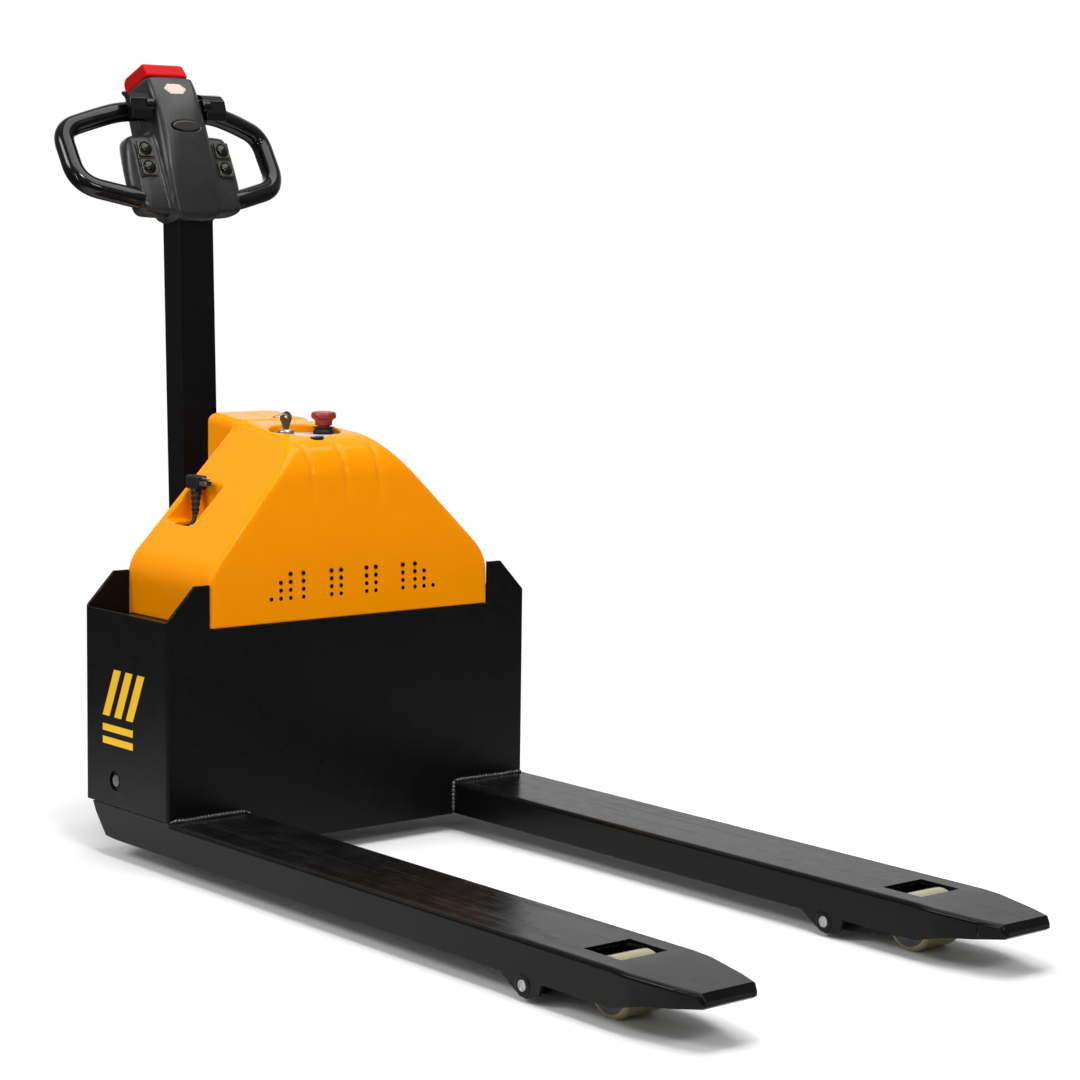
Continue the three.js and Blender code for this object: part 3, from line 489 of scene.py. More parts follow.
def rod_field(x, y, z, start, end):
    """Distance to the line from start to end."""
    start, end = np.array(start, float), np.array(end, float)
    run = end - start
    t = ((x - start[0]) * run[0] + (y - start[1]) * run[1] + (z - start[2]) * run[2]) / (run @ run)
    t = np.clip(t, 0, 1)
    return np.sqrt((x - start[0] - t * run[0]) ** 2 + (y - start[1] - t * run[1]) ** 2
                   + (z - start[2] - t * run[2]) ** 2)


def moulded(name, field, low, high, step, matrix, settle=3):
    """A closed mesh of quads on the zero level of field(x, y, z), which is negative inside."""
    axes = [np.arange(a, b + step, step, dtype=float) for a, b in zip(low, high)]
    values = np.broadcast_to(field(*np.meshgrid(*axes, indexing="ij", sparse=True)),
                             tuple(len(a) for a in axes))
    inside = values < 0
    shape = np.array(values.shape)
    weights = np.array([shape[1] * shape[2], shape[2], 1])
    cells, crossings, quads = [], [], []
    for axis in range(3):
        near = [slice(None)] * 3
        far = [slice(None)] * 3
        near[axis], far[axis] = slice(0, -1), slice(1, None)
        near, far = tuple(near), tuple(far)
        index = np.argwhere(inside[near] != inside[far])
        a, b = values[near][tuple(index.T)], values[far][tuple(index.T)]
        point = index.astype(float)
        point[:, axis] += a / (a - b)
        u, v = (axis + 1) % 3, (axis + 2) % 3
        corners = []
        for du, dv in ((0, 0), (-1, 0), (-1, -1), (0, -1)):
            cell = index.copy()
            cell[:, u] += du
            cell[:, v] += dv
            corners.append(cell @ weights)
            cells.append(corners[-1])
            crossings.append(point)
        loop = np.stack(corners, 1)
        loop[a > 0] = loop[a > 0][:, ::-1]
        quads.append(loop)
    cells, crossings, quads = np.concatenate(cells), np.concatenate(crossings), np.concatenate(quads)
    names, order = np.unique(cells, return_inverse=True)
    count = np.bincount(order)
    points = np.stack([np.bincount(order, crossings[:, i]) / count for i in range(3)], 1)
    points = np.array(low) + points * step
    faces = np.searchsorted(names, quads)
    for _ in range(settle):
        here = field(*points.T)
        reach = 0.02
        slope = np.stack([(field(*(points + reach * np.eye(3)[i]).T) - here) / reach for i in range(3)], 1)
        move = slope * (here / np.maximum((slope ** 2).sum(1), 0.05))[:, None]
        points -= np.clip(move, -0.5 * step, 0.5 * step)
    mesh = bpy.data.meshes.new(name)
    mesh.vertices.add(len(points))
    mesh.vertices.foreach_set("co", points.astype(np.float32).ravel())
    mesh.loops.add(faces.size)
    mesh.loops.foreach_set("vertex_index", faces.astype(np.int32).ravel())
    mesh.polygons.add(len(faces))
    mesh.polygons.foreach_set("loop_start", np.arange(0, faces.size, 4, dtype=np.int32))
    mesh.update(calc_edges=True)
    mesh.validate()
    mesh.transform(matrix)
    return mesh


# ---- battery box and forks
NEAR = 1e-4  # metres within which a vertex lies on a plane
FOLD, FORK_BEND = 5.5, 6.5  # outer radii of the folded plate, in millimetres
# places on a fork, in metres: ahead of the front plate, below the top, from the centre line and back from the tip
FORK_CUT, FORK_START = 0.006, 0.005
TOP_PLATE, UNDERSIDE = 0.0075, 0.008
WINDOW_HALF, TIP_WEB = 0.0395, 0.1
NOSE, NOSE_CORNER = 0.045, 0.042
NOSE_DROP, NOSE_START, NOSE_RUN = 0.0055, 0.09, 0.08


def make_battery_box():
    """Four welded plates with folded corners."""
    plates = []
    for node in PLATES:
        bm = flattened(cad_mesh(node))
        if "side" in node:  # these reach a millimetre into the end plates, so that the four weld together
            low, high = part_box(node)
            for v in bm.verts:
                v.co.x += MM if v.co.x > high.x - NEAR else -MM if v.co.x < low.x + NEAR else 0
        plates.append(to_mesh(bm, node))
    shell = combine("battery_box", plates[0], plates[1:], "UNION")
    bm = flattened(shell)
    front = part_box("front_plate")[1]
    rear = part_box("rear_plate")[0].x

    def is_fold(edge):
        return all(abs(abs(v.co.y) - front.y) < NEAR and min(abs(v.co.x - front.x), abs(v.co.x - rear)) < NEAR
                   for v in edge.verts)

    bmesh.ops.bevel(bm, geom=[e for e in bm.edges if is_fold(e)], offset=FOLD * MM, segments=6, profile=0.5,
                    affect="EDGES", clamp_overlap=True)
    piece("battery_box", to_mesh(bm, "battery_box"), "chassis", "black_paint", None, PLATES, bevel=(0.9, 2))


def make_forks():
    """Pressed channels: the long top edges are bends, the cut edges are thin."""
    for word, _ in SIDES:
        node = f"{word}_fork"
        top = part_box(node)[1]
        bm = flattened(cad_mesh(node))
        bmesh.ops.bisect_plane(bm, geom=bm.verts[:] + bm.edges[:] + bm.faces[:],
                               plane_co=(FRONT_X + FORK_CUT, 0, 0), plane_no=(1, 0, 0))
        for v in bm.verts:
            if v.co.z < top.z - UNDERSIDE:
                v.co.z -= NOSE_DROP * min(1.0, max(0.0, (v.co.x - top.x + NOSE_START) / NOSE_RUN))

        def off_centre(v):
            return abs(abs(v.co.y) - FORK_MIDDLE * MM)

        def is_bend(edge):
            a, b = (v.co for v in edge.verts)
            if min(a.x, b.x) < FRONT_X + FORK_START or min(a.z, b.z) < top.z - TOP_PLATE:
                return False
            of_window = all(off_centre(v) < WINDOW_HALF for v in edge.verts) and max(a.x, b.x) < top.x - TIP_WEB
            return edge.calc_face_angle(0) > math.radians(40) and not of_window and abs(a.x - b.x) > NEAR

        def is_nose_corner(edge):
            a, b = (v.co for v in edge.verts)
            return (min(a.x, b.x) > top.x - NOSE and abs(a.z - b.z) > 3 * MM
                    and all(off_centre(v) > NOSE_CORNER for v in edge.verts))

        bmesh.ops.bevel(bm, geom=[e for e in bm.edges if is_bend(e) or is_nose_corner(e)],
                        offset=FORK_BEND * MM, segments=6, profile=0.5, affect="EDGES", clamp_overlap=False)
        stand_in(node, to_mesh(bm, node), "fork_paint", bevel=(0.9, 3))


BEAD_STEP, BEAD_PITCH = 0.9, 6.5  # along a weld bead, between points and between ripples
BEAD_RADIUS, BEAD_RIPPLE, BEAD_WANDER, BEAD_LIFT = 3.0, 2.2, 0.2, 0.5


def make_weld_beads():
    """A bead joins each fork to the end plate, along its top and down its inner side."""
    rng = np.random.default_rng(7)
    for word, side in SIDES:
        for run, start, end in (
            ("top", Vector((2.2, side * 340, 83.5)), Vector((2.2, side * 200.5, 83.5))),
            ("inner", Vector((2.2, side * 198.5, 84)), Vector((2.2, side * 198.5, 34))),
        ):
            length = (end - start).length
            count = int(length / BEAD_STEP)
            wander = np.cumsum(rng.normal(0, BEAD_WANDER, count + 1))
            wander -= np.linspace(wander[0], wander[-1], count + 1)
            path = [start.lerp(end, i / count) for i in range(count + 1)]
            if run == "top":
                for point, rise in zip(path, wander):
                    point.z += BEAD_LIFT * rise

            def radius(share, ripples=length / BEAD_PITCH):
                fall = min(1.0, share * 14, (1 - share) * 14)
                ripple = BEAD_RIPPLE * abs(math.sin(math.pi * ripples * share))
                return (BEAD_RADIUS + ripple) * (0.35 + 0.65 * fall)

            mesh = sweep("bead", path, radius, 12, STATIONS)
            piece(f"{word}_{run}_weld_bead", mesh, "chassis", "black_paint", "weld_paint", smooth=180)


def make_side_marks():
    """Plain bars on each side of the battery box: three that slant over two level ones."""
    rear, front, bottom = -186, -98, 222
    width, rise, lean, pitch = 20, 74, 34, 34
    level, proud = 11, 0.35
    slants = [[(x, bottom), (x + width, bottom), (x + width + lean, bottom + rise), (x + lean, bottom + rise)]
              for x in (rear, rear + pitch, rear + 2 * pitch)]
    levels = [rectangle(rear, z, front, z + level) for z in (178, 198)]
    for word, side in SIDES:
        turn = Matrix(((1, 0, 0, 0), (0, 0, side, side * BOX_HALF), (0, 1, 0, 0), (0, 0, 0, 1)))
        for i, outline in enumerate(slants + levels):
            mesh = plate("bar", outline if side < 0 else outline[::-1], proud, STATIONS @ turn)
            piece(f"{word}_side_bar_{i + 1}", mesh, "chassis", "yellow_cover", "decal_yellow")


# ---- cover
COVER_WALL = 4.6
COVER_HALF, COVER_REAR, HUMP_REAR, HUMP_HALF, HUMP_FRONT = 266.8, -237.0, -320.0, 70.0, -222.0
COVER_BOTTOM, HUMP_BOTTOM = 370.0, 256.0
# the deck falls towards the forks, the slopes towards the sides, and the upper face leans back; each plane is a
# point on it and the length of its unscaled normal
DECK = {"x": -100, "z": 651, "fall": 0.105, "normal": 1.0055}
SLOPE = {"y": 262, "z": 456, "across": 0.7172, "up": 0.6970}
FACE = {"x": -0.5, "z": 448, "fall": 0.16, "normal": 1.0127}
FLUTES, FLUTE_DEPTH, FLUTE_WIDTH = (-64.0, 0.0, 64.0), 2.6, 5.0
FLUTE_BOTTOM, FLUTE_FADE = 545, 30
POCKET = {"x": -128, "y": -6, "rx": 50, "ry": 60, "floor": 642}
RECESS = {"x": -183, "half": 40, "flare": 0.03, "back": -150, "floor": 512, "top": 600}
VENT = {"radius": 3.5, "bottom": 407.0, "pitch": 12.3}
VENT_COLUMNS = ((24.5, 4), (42.5, 4), (95.5, 4), (119.5, 4), (137.5, 3), (155.5, 1))  # |y| and holes of each


def cover_skin(x, y, z):
    """The cover's outer surface, with no bottom: its body and its hump."""
    side = np.sqrt(y * y + 1e-6)
    deck = (z - DECK["z"] + DECK["fall"] * (x - DECK["x"])) / DECK["normal"]
    slope = SLOPE["across"] * (side - SLOPE["y"]) + SLOPE["up"] * (z - SLOPE["z"])
    ahead = x - FACE["x"]
    face = blend_max(ahead, (ahead + FACE["fall"] * (z - FACE["z"])) / FACE["normal"], 10.0)
    rise = np.clip((z - FLUTE_BOTTOM) / FLUTE_FADE, 0, 1) * np.clip((x - DECK["x"]) / 25, 0, 1)
    for middle in FLUTES:
        face = face + FLUTE_DEPTH * rise * np.exp(-((y - middle) / FLUTE_WIDTH) ** 2)
    face = blend_max(face, deck, 62.0)
    body = blend_max(blend_max(slope, side - COVER_HALF, 20.0), face, 9.0)
    body = blend_max(body, COVER_REAR - x, 3.0)
    hump = blend_max(blend_max(side - HUMP_HALF, HUMP_REAR - x, 16.0), deck, 18.0)
    return body, np.maximum(hump, x - HUMP_FRONT)


def cover_recesses(x, y, z):
    """The rooms sunk into the cover: the oval control pocket and the plug's recess on the left slope."""
    reach = np.sqrt(((x - POCKET["x"]) / POCKET["rx"]) ** 2 + ((y - POCKET["y"]) / POCKET["ry"]) ** 2)
    pocket = blend_max((reach - 1) * 52, POCKET["floor"] - z, 3.0)
    half = RECESS["half"] + RECESS["flare"] * (z - RECESS["floor"])
    plug_room = blend_max(np.abs(x - RECESS["x"]) - half, y - RECESS["back"], 6.0)
    plug_room = blend_max(plug_room, RECESS["floor"] - z, 4.0)
    return pocket, np.maximum(plug_room, z - RECESS["top"])


def cover_field(x, y, z):
    body, hump = cover_skin(x, y, z)
    solid = blend_min(blend_max(body, COVER_BOTTOM - z, 1.5), blend_max(hump, HUMP_BOTTOM - z, 1.5), 6.0)
    whole = blend_min(body, hump, 6.0)
    for room in cover_recesses(x, y, z):
        solid = blend_max(solid, -room, 3.5)
        whole = blend_max(whole, -room, 3.5)
    return blend_max(solid, -(whole + COVER_WALL), 1.0)


def vent_places():
    """The y and z of each vent hole."""
    return [(side * y, VENT["bottom"] + row * VENT["pitch"])
            for side in (-1, 1) for y, count in VENT_COLUMNS for row in range(count)]


def raised(z):
    """The stations' frame, lifted to z."""
    return STATIONS @ Matrix.Translation((0, 0, z))


def make_cover():
    """The moulded shell, cut through for the vents, the lead, the panel's window and the seam of the hump."""
    shell = moulded("main_cover", cover_field, (-326, -272, 250), (6, 272, 682), 2.5, STATIONS)
    tools = [sweep("bore", [(-14, y, z), (6, y, z)], VENT["radius"], 20, STATIONS) for y, z in vent_places()]
    tools.append(plate("lead_slot", rectangle(-190, -210, -148, -174), 26, raised(490)))
    window = [(-70 + 7 * c, -23 + 13 * s) for c, s in arc(1, 0, 4, 33)[:-1]]
    tools.append(plate("window", window, 40, raised(630)))
    seam_x, seam_z, half, depth = -276, 669.5, 0.6, 1.2
    tilt = Matrix.Rotation(math.atan(DECK["fall"]), 4, "Y")
    along_deck = raised(seam_z) @ Matrix.Translation((seam_x, 0, 0)) @ tilt @ Matrix.Translation((-seam_x, 0, -depth))
    tools.append(plate("seam", rectangle(-330, -half, HUMP_FRONT, half), 3, along_deck))
    shell = combine("main_cover", shell, [joined("openings", tools)], "DIFFERENCE")
    stand_in("main_cover", shell, smooth=50)


def make_vent_sleeves():
    """Dark sleeves that line the vent holes."""
    sleeve = [(3.4, -5.6), (3.4, -1.0), (2.8, -1.0), (2.8, -5.6)]
    made = [round_piece("sleeve", sleeve, "X", place, sides=20) for place in vent_places()]
    piece("vent_sleeves", joined("vent_sleeves", made), "chassis", "charcoal_plastic", "lens", smooth=60)


# ---- charger lead and plug
LEAD_ROUTE = ((-168, -198, 446), (-168, -198, 470), (-168, -197, 492), (-171, -192, 505), (-178, -182, 514.5),
              (-183, -176.5, 523))
LEAD_RADIUS = 3.5


def smooth_route(points, steps):
    """A smooth curve through every point."""
    points = [Vector(p) for p in points]
    ends = [points[0] * 2 - points[1], *points, points[-1] * 2 - points[-2]]
    route = [points[0]]
    for a, b, c, d in zip(ends, ends[1:], ends[2:], ends[3:]):
        for i in range(1, steps + 1):
            t = i / steps
            route.append(0.5 * ((2 * b) + (c - a) * t + (2 * a - 5 * b + 4 * c - d) * t * t
                                + (3 * b - a - 3 * c + d) * t ** 3))
    return route


def make_charger_lead():
    """A short lead from the charger's gland, up through the slot in the recess, to its parked plug."""
    route = smooth_route(LEAD_ROUTE, 5)
    tube = sweep("charger_lead", route, LEAD_RADIUS, 24, STATIONS)
    lead = stand_in("charger_lead", tube, smooth=60)
    plug = make_plug()
    gland = [(LEAD_RADIUS + 0.4, 446.2), (9, 446.2), (9, 451), (6.4, 452), (5.0, 470), (LEAD_RADIUS + 0.4, 471)]
    piece("charger_gland", round_piece("charger_gland", gland, "Z", LEAD_ROUTE[0][:2]), "chassis", "black_rubber")


def make_plug():
    """A right-angled plug: a rounded head with flat blades, and a ribbed neck that tapers down to the lead."""
    neck_top, neck_end = Vector((-201, -162, 566)), Vector((-183.4, -175.8, 523.8))
    ribs, steps = 5, 60

    def neck_radius(share):
        rib = 0.7 * math.sin(math.pi * share * ribs * 2) if 0.25 < share < 0.95 else 0
        return 9 - 4 * share + rib

    path = [neck_top + (neck_end - neck_top) * i / steps for i in range(steps + 1)]
    neck = sweep("neck", path, neck_radius, 28, STATIONS)
    front = -184
    bm = bmesh.new()
    bm.from_mesh(plate("block", rectangle(front - 36, -172, front, -152), 22, raised(561)))
    bmesh.ops.bevel(bm, geom=bm.edges[:], offset=4 * MM, segments=4, profile=0.5, affect="EDGES")
    body = combine("charger_plug", to_mesh(bm, "block"), [neck], "UNION")
    made = [stand_in("charger_plug", body, smooth=40)]
    for word, y in (("near", -168), ("far", -157.5)):
        blade = plate("blade", rectangle(front + 0.5, y - 0.8, front + 20, y + 0.8), 7, raised(568))
        made.append(piece(f"charger_plug_{word}_blade", blade, "chassis", "zinc_steel", bevel=(0.4, 2)))
    pin = sweep("pin", [(front + 0.5, -162.7, 578.5), (front + 19, -162.7, 578.5)], 2.3, 20, STATIONS)
    made.append(piece("charger_plug_pin", pin, "chassis", "zinc_steel", bevel=(0.6, 2)))
    return made


# ---- control pocket
PANEL_TOP = 645.3
LOCK, STOP, LIGHT = (-126, -44), (-132, 33), (-99, -40)


def make_controls():
    """The key switch with its key, the emergency stop, the charge indicator and a status light."""
    skin("control_panel")
    turned("key_switch", 2, 1.0, 3)
    skin("key", 0.5, 2, "brass")
    ring_radius, hang = 10, 11
    ring = [(LOCK[0] + ring_radius * s, LOCK[1] + 2.5 * s + ring_radius * c - hang, 677.5 + 3 * s)
            for c, s in arc(1, 0, 4, 65)]
    piece("key_ring", sweep("key_ring", ring, 0.7, 12, STATIONS), "key", "zinc_steel", smooth=60)
    turned("emergency_stop_base", 2, 1.0, 3)
    collar = [(14.4, 654.9), (16.2, 654.9), (16.2, 655.9), (15.6, 656.5), (14.4, 656.5)]
    piece("emergency_stop_collar", round_piece("collar", collar, "Z", STOP), "chassis", "black_rubber",
          bevel=(0.3, 2))
    cap = [(0, 651), (9.8, 651), (9.8, 659.1), (13.6, 659.1), (13.6, 664.5), (15.2, 668), (19.6, 671), (20, 673),
           (20, 677), (18.2, 680.4), (12, 681.6), (0, 682)]
    stand_in("emergency_stop_button", round_piece("cap", cap, "Z", STOP, False, 96), bevel=(0.8, 3))
    skin("charge_indicator", 1.2, 3, "lens")
    bezel = [(5.2, PANEL_TOP), (5.2, PANEL_TOP + 1.6), (3.6, PANEL_TOP + 2.0), (3.4, PANEL_TOP)]
    piece("status_light_bezel", round_piece("bezel", bezel, "Z", LIGHT), "chassis", "gloss_black", bevel=(0.3, 2))
    seat = PANEL_TOP + 0.2
    dome = [(1.1 * r, seat + rise) for r, rise in arc(3.0, 0, 1, 9)]
    piece("status_light", round_piece("dome", [(0, seat), *dome], "Z", LIGHT, closed=False), "chassis",
          "red_plastic", smooth=50)


# ---- tiller
def softened(points, rounds=2, share=0.22):
    """Cuts an outline's corners, over and over."""
    for _ in range(rounds):
        cut = []
        for (ax, ay), (bx, by) in zip(points, points[1:] + points[:1]):
            cut.append((ax + (bx - ax) * share, ay + (by - ay) * share))
            cut.append((bx + (ax - bx) * share, by + (ay - by) * share))
        points = cut
    return points


def mirrored(points):
    return [*points, *[(-a, b) for a, b in points][::-1]]


SPINE_SIDE = softened([(32, -18), (46, 40), (52, 80), (58, 125), (60, 150), (57, 185), (50, 220), (42, 252),
                       (-43, 252), (-46, 200), (-44, 120), (-38, 40), (-31, 7)])
SPINE_FRONT = softened(mirrored([(38, -18), (48, 36), (52, 80), (50, 144), (47, 175), (46, 228), (43, 252)]))
SPINE_PLAN = softened([(62, -28), (62, 28), (44, 54), (-36, 54), (-50, 40), (-50, -40), (-36, -54), (44, -54)])
POD_FRONT = softened(mirrored([(56, -6), (100, 12), (110, 46), (106, 104), (97, 142), (80, 152)]))
POD_SIDE = softened([(26, -4), (36, 40), (35, 120), (22, 154), (-30, 154), (-34, 56), (-24, 16)])
POD_PLAN = softened([(37, -84), (37, 84), (14, 112), (4, 110), (-24, 84), (-36, 66), (-36, -66), (-24, -84),
                     (4, -110), (14, -112)])
BOW_POINTS = ((14, 90, 33), (14, 108, 37), (0.4, 195, 65), (-16.7, 195, 168), (1.6, 134, 183), (8, 96, 192),
              (9, 46, 196))
BOW_RADIUS, BOW_CORNER = 16.5, 38
HEAD_WALL, SPLIT, SPLIT_GAP = 3.6, -10.0, 0.35
# the side buttons: their places, their seats' radius and floor, their bezels' half width and the pods' face
KEYS = {"y": 75.0, "rows": (("raise", 115.0), ("lower", 82.0)), "seat": 11.9, "floor": 26.0, "bezel": 13.5,
        "front": 35.0}
KEY_PANEL = {"h": 98.5, "half": 15.6, "rise": 32, "sunk": 2.2, "thick": 1.2}
HORN = {"h": 148.0, "half": 27.7, "rise": 9.7, "floor": 51.0}
THROTTLE = (42.0, 192.0)  # its shaft's place in (n, h)


def bow_path(side):
    return rounded_path([(n, side * y, h) for n, y, h in BOW_POINTS], BOW_CORNER, 16)


def head_skin(n, y, h):
    """The head's outer surface: a tapering spine between two rounded pods."""
    spine = blend_max(outline_field(n, h, SPINE_SIDE), outline_field(y, h, SPINE_FRONT), 12.0)
    spine = blend_max(spine, outline_field(n, y, SPINE_PLAN), 8.0)
    pods = blend_max(outline_field(y, h, POD_FRONT), outline_field(n, h, POD_SIDE), 14.0)
    pods = blend_max(pods, outline_field(n, y, POD_PLAN), 10.0)
    return blend_min(spine, pods, 9.0)


def head_openings(n, y, h):
    """Everything let into the head, as one field: buttons, handle ends, throttle shaft and column."""
    cap = np.maximum(np.abs(n + 1) - 39.6, np.maximum(np.abs(y) - 40.6, 238 - h))
    rooms = np.minimum(cap, np.maximum(np.hypot(n - THROTTLE[0], h - THROTTLE[1]) - 6, np.abs(y) - 60))
    horn = (np.sqrt((y / HORN["half"]) ** 2 + ((h - HORN["h"]) / HORN["rise"]) ** 2) - 1) * HORN["rise"]
    rooms = np.minimum(rooms, np.maximum(horn, HORN["floor"] - n))
    for side in (-1, 1):
        for _, row in KEYS["rows"]:
            seat = np.hypot(y - side * KEYS["y"], h - row) - KEYS["seat"]
            rooms = np.minimum(rooms, np.maximum(seat, KEYS["floor"] - n))
        panel = np.maximum(np.abs(y - side * KEYS["y"]) - 16, np.abs(h - KEY_PANEL["h"]) - 32.5)
        rooms = np.minimum(rooms, np.maximum(panel, KEYS["front"] - 1.2 - n))
        for start, end in (((14, 106, 36.6), BOW_POINTS[1]), BOW_POINTS[1:3], BOW_POINTS[4:6], BOW_POINTS[5:7]):
            a, b = (start[0], side * start[1], start[2]), (end[0], side * end[1], end[2])
            rooms = np.minimum(rooms, rod_field(n, y, h, a, b) - BOW_RADIUS - 0.9)
    lean = math.radians(HEAD_LEAN - COLUMN_LEAN)
    along = h * math.cos(lean) + n * math.sin(lean)
    across = n * math.cos(lean) - h * math.sin(lean)
    column = np.maximum(np.maximum(np.abs(across) - 25.8, np.abs(y) - 34.8), along - 33)
    return np.minimum(rooms, column)


def head_field(n, y, h):
    whole = head_skin(n, y, h)
    shell = blend_max(whole, -(whole + HEAD_WALL), 1.0)
    return blend_max(shell, -head_openings(n, y, h), 1.6)


def make_head():
    """The two half shells with the handle bows, the buttons and the throttle."""
    def front(n, y, h):
        return np.maximum(head_field(n, y, h), SPLIT + SPLIT_GAP - n)

    def rear(n, y, h):
        return np.maximum(head_field(n, y, h), n - SPLIT + SPLIT_GAP)

    for node, field, low, high in (
        ("head_front_shell", front, (SPLIT - 3, -116, -34), (66, 116, 258)),
        ("head_rear_shell", rear, (-54, -116, -34), (SPLIT + 3, 116, 258)),
    ):
        stand_in(node, moulded(node, field, low, high, 1.8, HEAD, settle=1), smooth=50)
    for word, side in SIDES:
        stand_in(f"{word}_handle_bow", sweep("bow", bow_path(side), BOW_RADIUS, 48, HEAD), bevel=(2, 3))
        make_key_panel(word, side)
        for use, h in KEYS["rows"]:
            make_thumb_button(word, side, use, h)
    skin("throttle", 2.2, 4)
    for word, side in SIDES:
        hub = [(0, 47.6), (11, 47.6), (12.5, 49), (12.5, 62), (0, 62)]
        mesh = round_piece("hub", [(r, side * y) for r, y in hub], "Y", THROTTLE, False, 48, HEAD)
        piece(f"{word}_throttle_hub", mesh, "throttle", "gloss_black", bevel=(1.0, 3))
    skin("belly_button", 4.5, 6)
    skin("horn_button", 2.4, 4, "lens")
    make_sticker()


def facing(n):
    """The head's frame for an outline in (y, h), whose thickness runs forwards from n."""
    return HEAD @ Matrix(((0, 0, 1, n), (1, 0, 0, 0), (0, 1, 0, 0), (0, 0, 0, 1)))


def button_hole(y, h):
    """A tool that clears the way for a side button."""
    return round_piece("hole", [(0, 20), (11.8, 20), (11.8, 60), (0, 60)], "X", (y, h), False, 48, HEAD)


def make_thumb_button(word, side, use, h):
    """A domed rubber button in a square bezel."""
    node = f"{word}_{use}_button"
    y = side * KEYS["y"]
    radius, foot, brow, rise = 11, 32.3, 36.0, 5.5
    dome = [(r, brow + up * rise / radius) for r, up in arc(radius, 0, 1, 12)]
    mesh = round_piece(node, [(0, foot), (radius, foot), *dome[:-1], (0, brow + rise)], "X", (y, h), False, 48, HEAD)
    stand_in(node, mesh, "gloss_black", smooth=40)
    corner = 3.0
    inset = KEYS["bezel"] - corner
    outline = [(y + sy * inset + dy, h + sz * inset + dz)
               for sy, sz, turn in ((1, 1, 0), (-1, 1, 1), (-1, -1, 2), (1, -1, 3))
               for dy, dz in arc(corner, turn, turn + 1, 7)]
    block = plate("bezel", outline, 3.2, facing(KEYS["front"] - 1.0))
    ring = combine("bezel", block, [button_hole(y, h)], "DIFFERENCE")
    # the bezel finish carries a painted warm reflection in its brown tone
    piece(f"{word}_{use}_bezel", ring, "tiller", "gloss_black", "bezel", bevel=(0.6, 2))


def make_key_panel(word, side):
    """The dark plate that both bezels stand on, let into the pod."""
    y, h, half, rise = side * KEYS["y"], KEY_PANEL["h"], KEY_PANEL["half"], KEY_PANEL["rise"]
    block = plate("key_panel", rectangle(y - half, h - rise, y + half, h + rise), KEY_PANEL["thick"],
                  facing(KEYS["front"] - KEY_PANEL["sunk"]))
    holes = joined("holes", [button_hole(y, row) for _, row in KEYS["rows"]])
    panel = combine("key_panel", block, [holes], "DIFFERENCE")
    piece(f"{word}_key_panel", panel, "tiller", "gloss_black", "lens", bevel=(0.3, 2))


def spine_front(y, h):
    """How far forward the head's surface lies at a place on the spine."""
    low, high = 30.0, 75.0
    for _ in range(30):
        middle = (low + high) / 2
        if head_skin(np.array([middle]), np.array([y]), np.array([h]))[0] < 0:
            low = middle
        else:
            high = middle
    return low


def make_sticker():
    """A blank six-sided sticker near the top of the spine."""
    half, rise, middle = 22.0, 10.0, 219.0
    level = half * 0.55
    corners = [(half, 0), (level, rise), (-level, rise), (-half, 0), (-level, -rise), (level, -rise)]
    bm = bmesh.new()
    face = bm.faces.new([bm.verts.new((0, y, middle + z)) for y, z in corners])
    bmesh.ops.poke(bm, faces=[face])
    for _ in range(3):
        bmesh.ops.subdivide_edges(bm, edges=bm.edges[:], cuts=1, use_grid_fill=True)
    for v in bm.verts:
        v.co.x = spine_front(v.co.y, v.co.z) + 0.3
    bmesh.ops.recalc_face_normals(bm, faces=bm.faces)
    mesh = to_mesh(bm, "sticker")
    mesh.transform(HEAD)
    sticker = piece("head_sticker", mesh, "tiller", "charcoal_plastic", "sticker", smooth=60)
    solid = sticker.modifiers.new("thickness", "SOLIDIFY")
    solid.thickness = 0.3 * MM


# ---- running gear
PIN_BOSS = ((8.6, 0.0), (15.0, 0.0), (15.0, 0.7), (13.0, 1.4), (8.6, 1.4))
PIN_RIM = ((5.4, 0), (7.9, 0), (7.9, 0.5), (7.2, 0.9), (6.0, 0.9), (5.4, 0.4))
ROLLER_HUB = ((11.0, -0.5), (33.0, -0.5), (33.0, 0.7), (30.0, 1.0), (11.0, 1.0))
SHAFT_CAP = ((0, 0.2), (1.8, 1.2), (7.8, 1.2), (9.2, 0.5), (9.2, 0), (0, 0))


def outward(x, y, z, way):
    """The frame at a station for a shape that is turned about y and rises along it, towards way."""
    return STATIONS @ Matrix.Translation((x, y, z)) @ Matrix.Rotation(-way * math.pi / 2, 4, "X")


def make_running_gear():
    for word, side in SIDES:
        turned(f"{word}_roller", 1, 3.0, 5)
        turned(f"{word}_roller_axle", 1, 1.2, 3)
        turned(f"{word}_rocker_pin", 1, 1.2, 3)
        turned(f"{word}_caster_wheel", 1, 3.0, 5)
        skin(f"{word}_rocker", 1.2, 3)
        skin(f"{word}_caster_fork", 1.0, 3)
        skin(f"{word}_push_rod")
        for where, way in (("outer", 1), ("inner", -1)):
            make_discs(word, side, where, way)
        cap = round_piece("shaft_end", SHAFT_CAP, "Z", (0, 0), False,
                          matrix=outward(SHAFT_X, side * 340.6, SHAFT_Z, side))
        piece(f"{word}_shaft_end", cap, "crank", "zinc_steel", "dark_steel", bevel=(0.3, 2))
    turned("drive_tyre", 1, 5.0, 6)
    turned("drive_hub", 1, 1.0, 2)


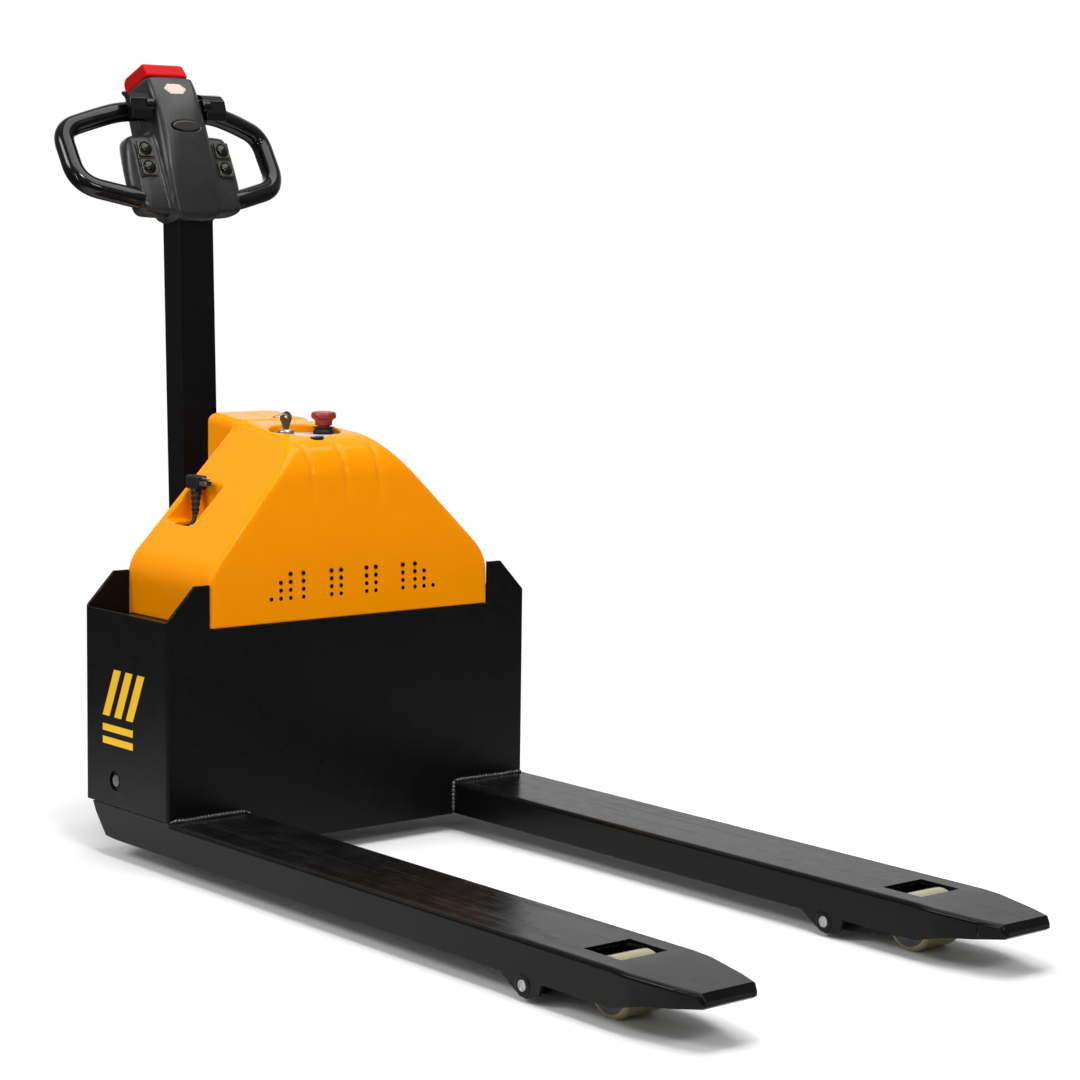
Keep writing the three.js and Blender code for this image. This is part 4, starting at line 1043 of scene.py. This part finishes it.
def make_discs(word, side, where, way):
    """What stands on one side of a fork's pins and wheels: a boss, a rim, a roller hub and an axle nut."""
    turn = side * way
    for what, profile, place, body, slot, finish, width in (
        ("pin_boss", PIN_BOSS, (ROCKER_X, side * (FORK_MIDDLE + way * 71.5), ROCKER_Z), "chassis", "black_paint",
         None, 0.3),
        ("pin_rim", PIN_RIM, (ROCKER_X, side * (FORK_MIDDLE + way * 72.4), ROCKER_Z), f"{word}_rocker",
         "zinc_steel", None, 0.15),
        ("roller_hub", ROLLER_HUB, (ROLLER_X, side * (FORK_MIDDLE + way * 34.5), ROLLER_Z), f"{word}_roller",
         "zinc_steel", "cast_metal", 0.2),
    ):
        disc = round_piece(what, profile, "Z", (0, 0), matrix=outward(*place, turn))
        piece(f"{word}_{where}_{what}", disc, body, slot, finish, bevel=(width, 2))
    nut = plate("nut", arc(8, 0, 4, 7)[:-1], 6, outward(CASTER_X, side * CASTER_Y + way * 27.2, CASTER_Z, way))
    piece(f"{word}_caster_{where}_nut", nut, f"{word}_caster", "zinc_steel", bevel=(0.8, 2))


# ---- everything else that the frame holds
ROUNDING = {"tiller_column": (2.5, 4), "tiller_bracket": (1.2, 3), "carrier_frame": (1.2, 3), "gearbox": (2.0, 3),
            "left_battery": (3.0, 4), "right_battery": (3.0, 4), "charger": (2.0, 3), "pump_unit": (1.5, 3)}


def make_remaining_skins():
    for node in frame["nodes"]:
        if f"{node}_form" not in bpy.data.objects and node not in PLATES:
            skin(node, *ROUNDING.get(node, ()))


# ---- studio
WHITE = (1, 1, 1, 1)


def soft_light(name, place, target, size, power):
    light = bpy.data.lights.new(name, "AREA")
    light.shape = "RECTANGLE"
    light.size, light.size_y = size
    light.energy = power
    obj = add_object(name, light)
    obj.location = place
    obj.rotation_euler = (Vector(target) - Vector(place)).to_track_quat("-Z", "Y").to_euler()


def floor_finish():
    """A pale matt floor, lit from below further out so that it runs into the backdrop."""
    made = surface("floor", (0.9, 0.9, 0.9), 0.7, mottle=0.004, specular=0.1, grain=(60, 0.02, 0.2))
    n = Nodes(made.node_tree)
    output = next(node for node in made.node_tree.nodes if node.type == "OUTPUT_MATERIAL")
    matt = output.inputs["Surface"].links[0].from_socket
    away = n.add("VectorMath", {0: n.add("TexCoord").outputs["Object"]}, operation="LENGTH").outputs["Value"]
    seen = n.add("LightPath").outputs["Is Camera Ray"]
    glow = n.add("Emission", {0: WHITE, 1: n.ramp(seen, 0.0, 1.0, 0.12, 1.0)}).outputs[0]
    blend = n.add("MixShader", {0: n.ramp(away, 0.95, 1.7), 1: matt, 2: glow}).outputs[0]
    made.node_tree.links.new(blend, output.inputs["Surface"])
    return made


def make_studio():
    """A white sweep and five soft lights; the dome is brighter behind the truck, where the forks' tops mirror it."""
    scene = bpy.context.scene
    scene.view_settings.view_transform = "Standard"
    world = bpy.data.worlds.new("studio")
    world.use_nodes = True
    world.node_tree.nodes.clear()
    n = Nodes(world.node_tree)
    toward = n.add("TexCoord").outputs["Generated"]
    height = n.add("SeparateXYZ", {0: toward}).outputs["Z"]
    behind = n.add("VectorMath", {0: toward, 1: (-0.80, 0.55, 0.24)}, operation="DOT_PRODUCT").outputs["Value"]
    glow = n.math("ADD", n.ramp(height, 0.0, 0.9, 0.22, 0.42), n.ramp(behind, 0.62, 0.92, 0.0, 0.65))
    dome = n.add("Background", {0: WHITE, 1: glow}).outputs[0]
    backdrop = n.add("Background", {0: WHITE, 1: 1.0}).outputs[0]
    seen = n.add("LightPath").outputs["Is Camera Ray"]
    shown = n.add("MixShader", {0: seen, 1: dome, 2: backdrop}).outputs[0]
    n.add("OutputWorld", {"Surface": shown})
    scene.world = world
    bm = bmesh.new()
    bmesh.ops.create_grid(bm, x_segments=8, y_segments=8, size=30)
    floor = add_object("floor", to_mesh(bm, "floor"))
    floor.data.materials.append(floor_finish())
    soft_light("key", (-0.9, -3.2, 2.8), (-0.3, 0, 0.4), (1.5, 1.1), 66)
    soft_light("top", (0.2, 0.2, 3.2), (0.1, 0.0, 0.0), (2.6, 2.6), 84)
    soft_light("front", (3.6, -0.4, 2.6), (-0.2, 0, 0.5), (1.0, 0.7), 30)
    soft_light("strip", (0.9, -3.6, 1.3), (-0.4, 0, 0.7), (0.07, 1.5), 16)
    soft_light("spark", (1.1, -0.75, 2.6), (-0.3, 0, 0.6), (0.25, 0.25), 13)


make_camera()
make_charger_lead()
make_battery_box()
make_forks()
make_weld_beads()
make_side_marks()
make_cover()
make_vent_sleeves()
make_controls()
make_head()
make_running_gear()
make_remaining_skins()
make_studio()
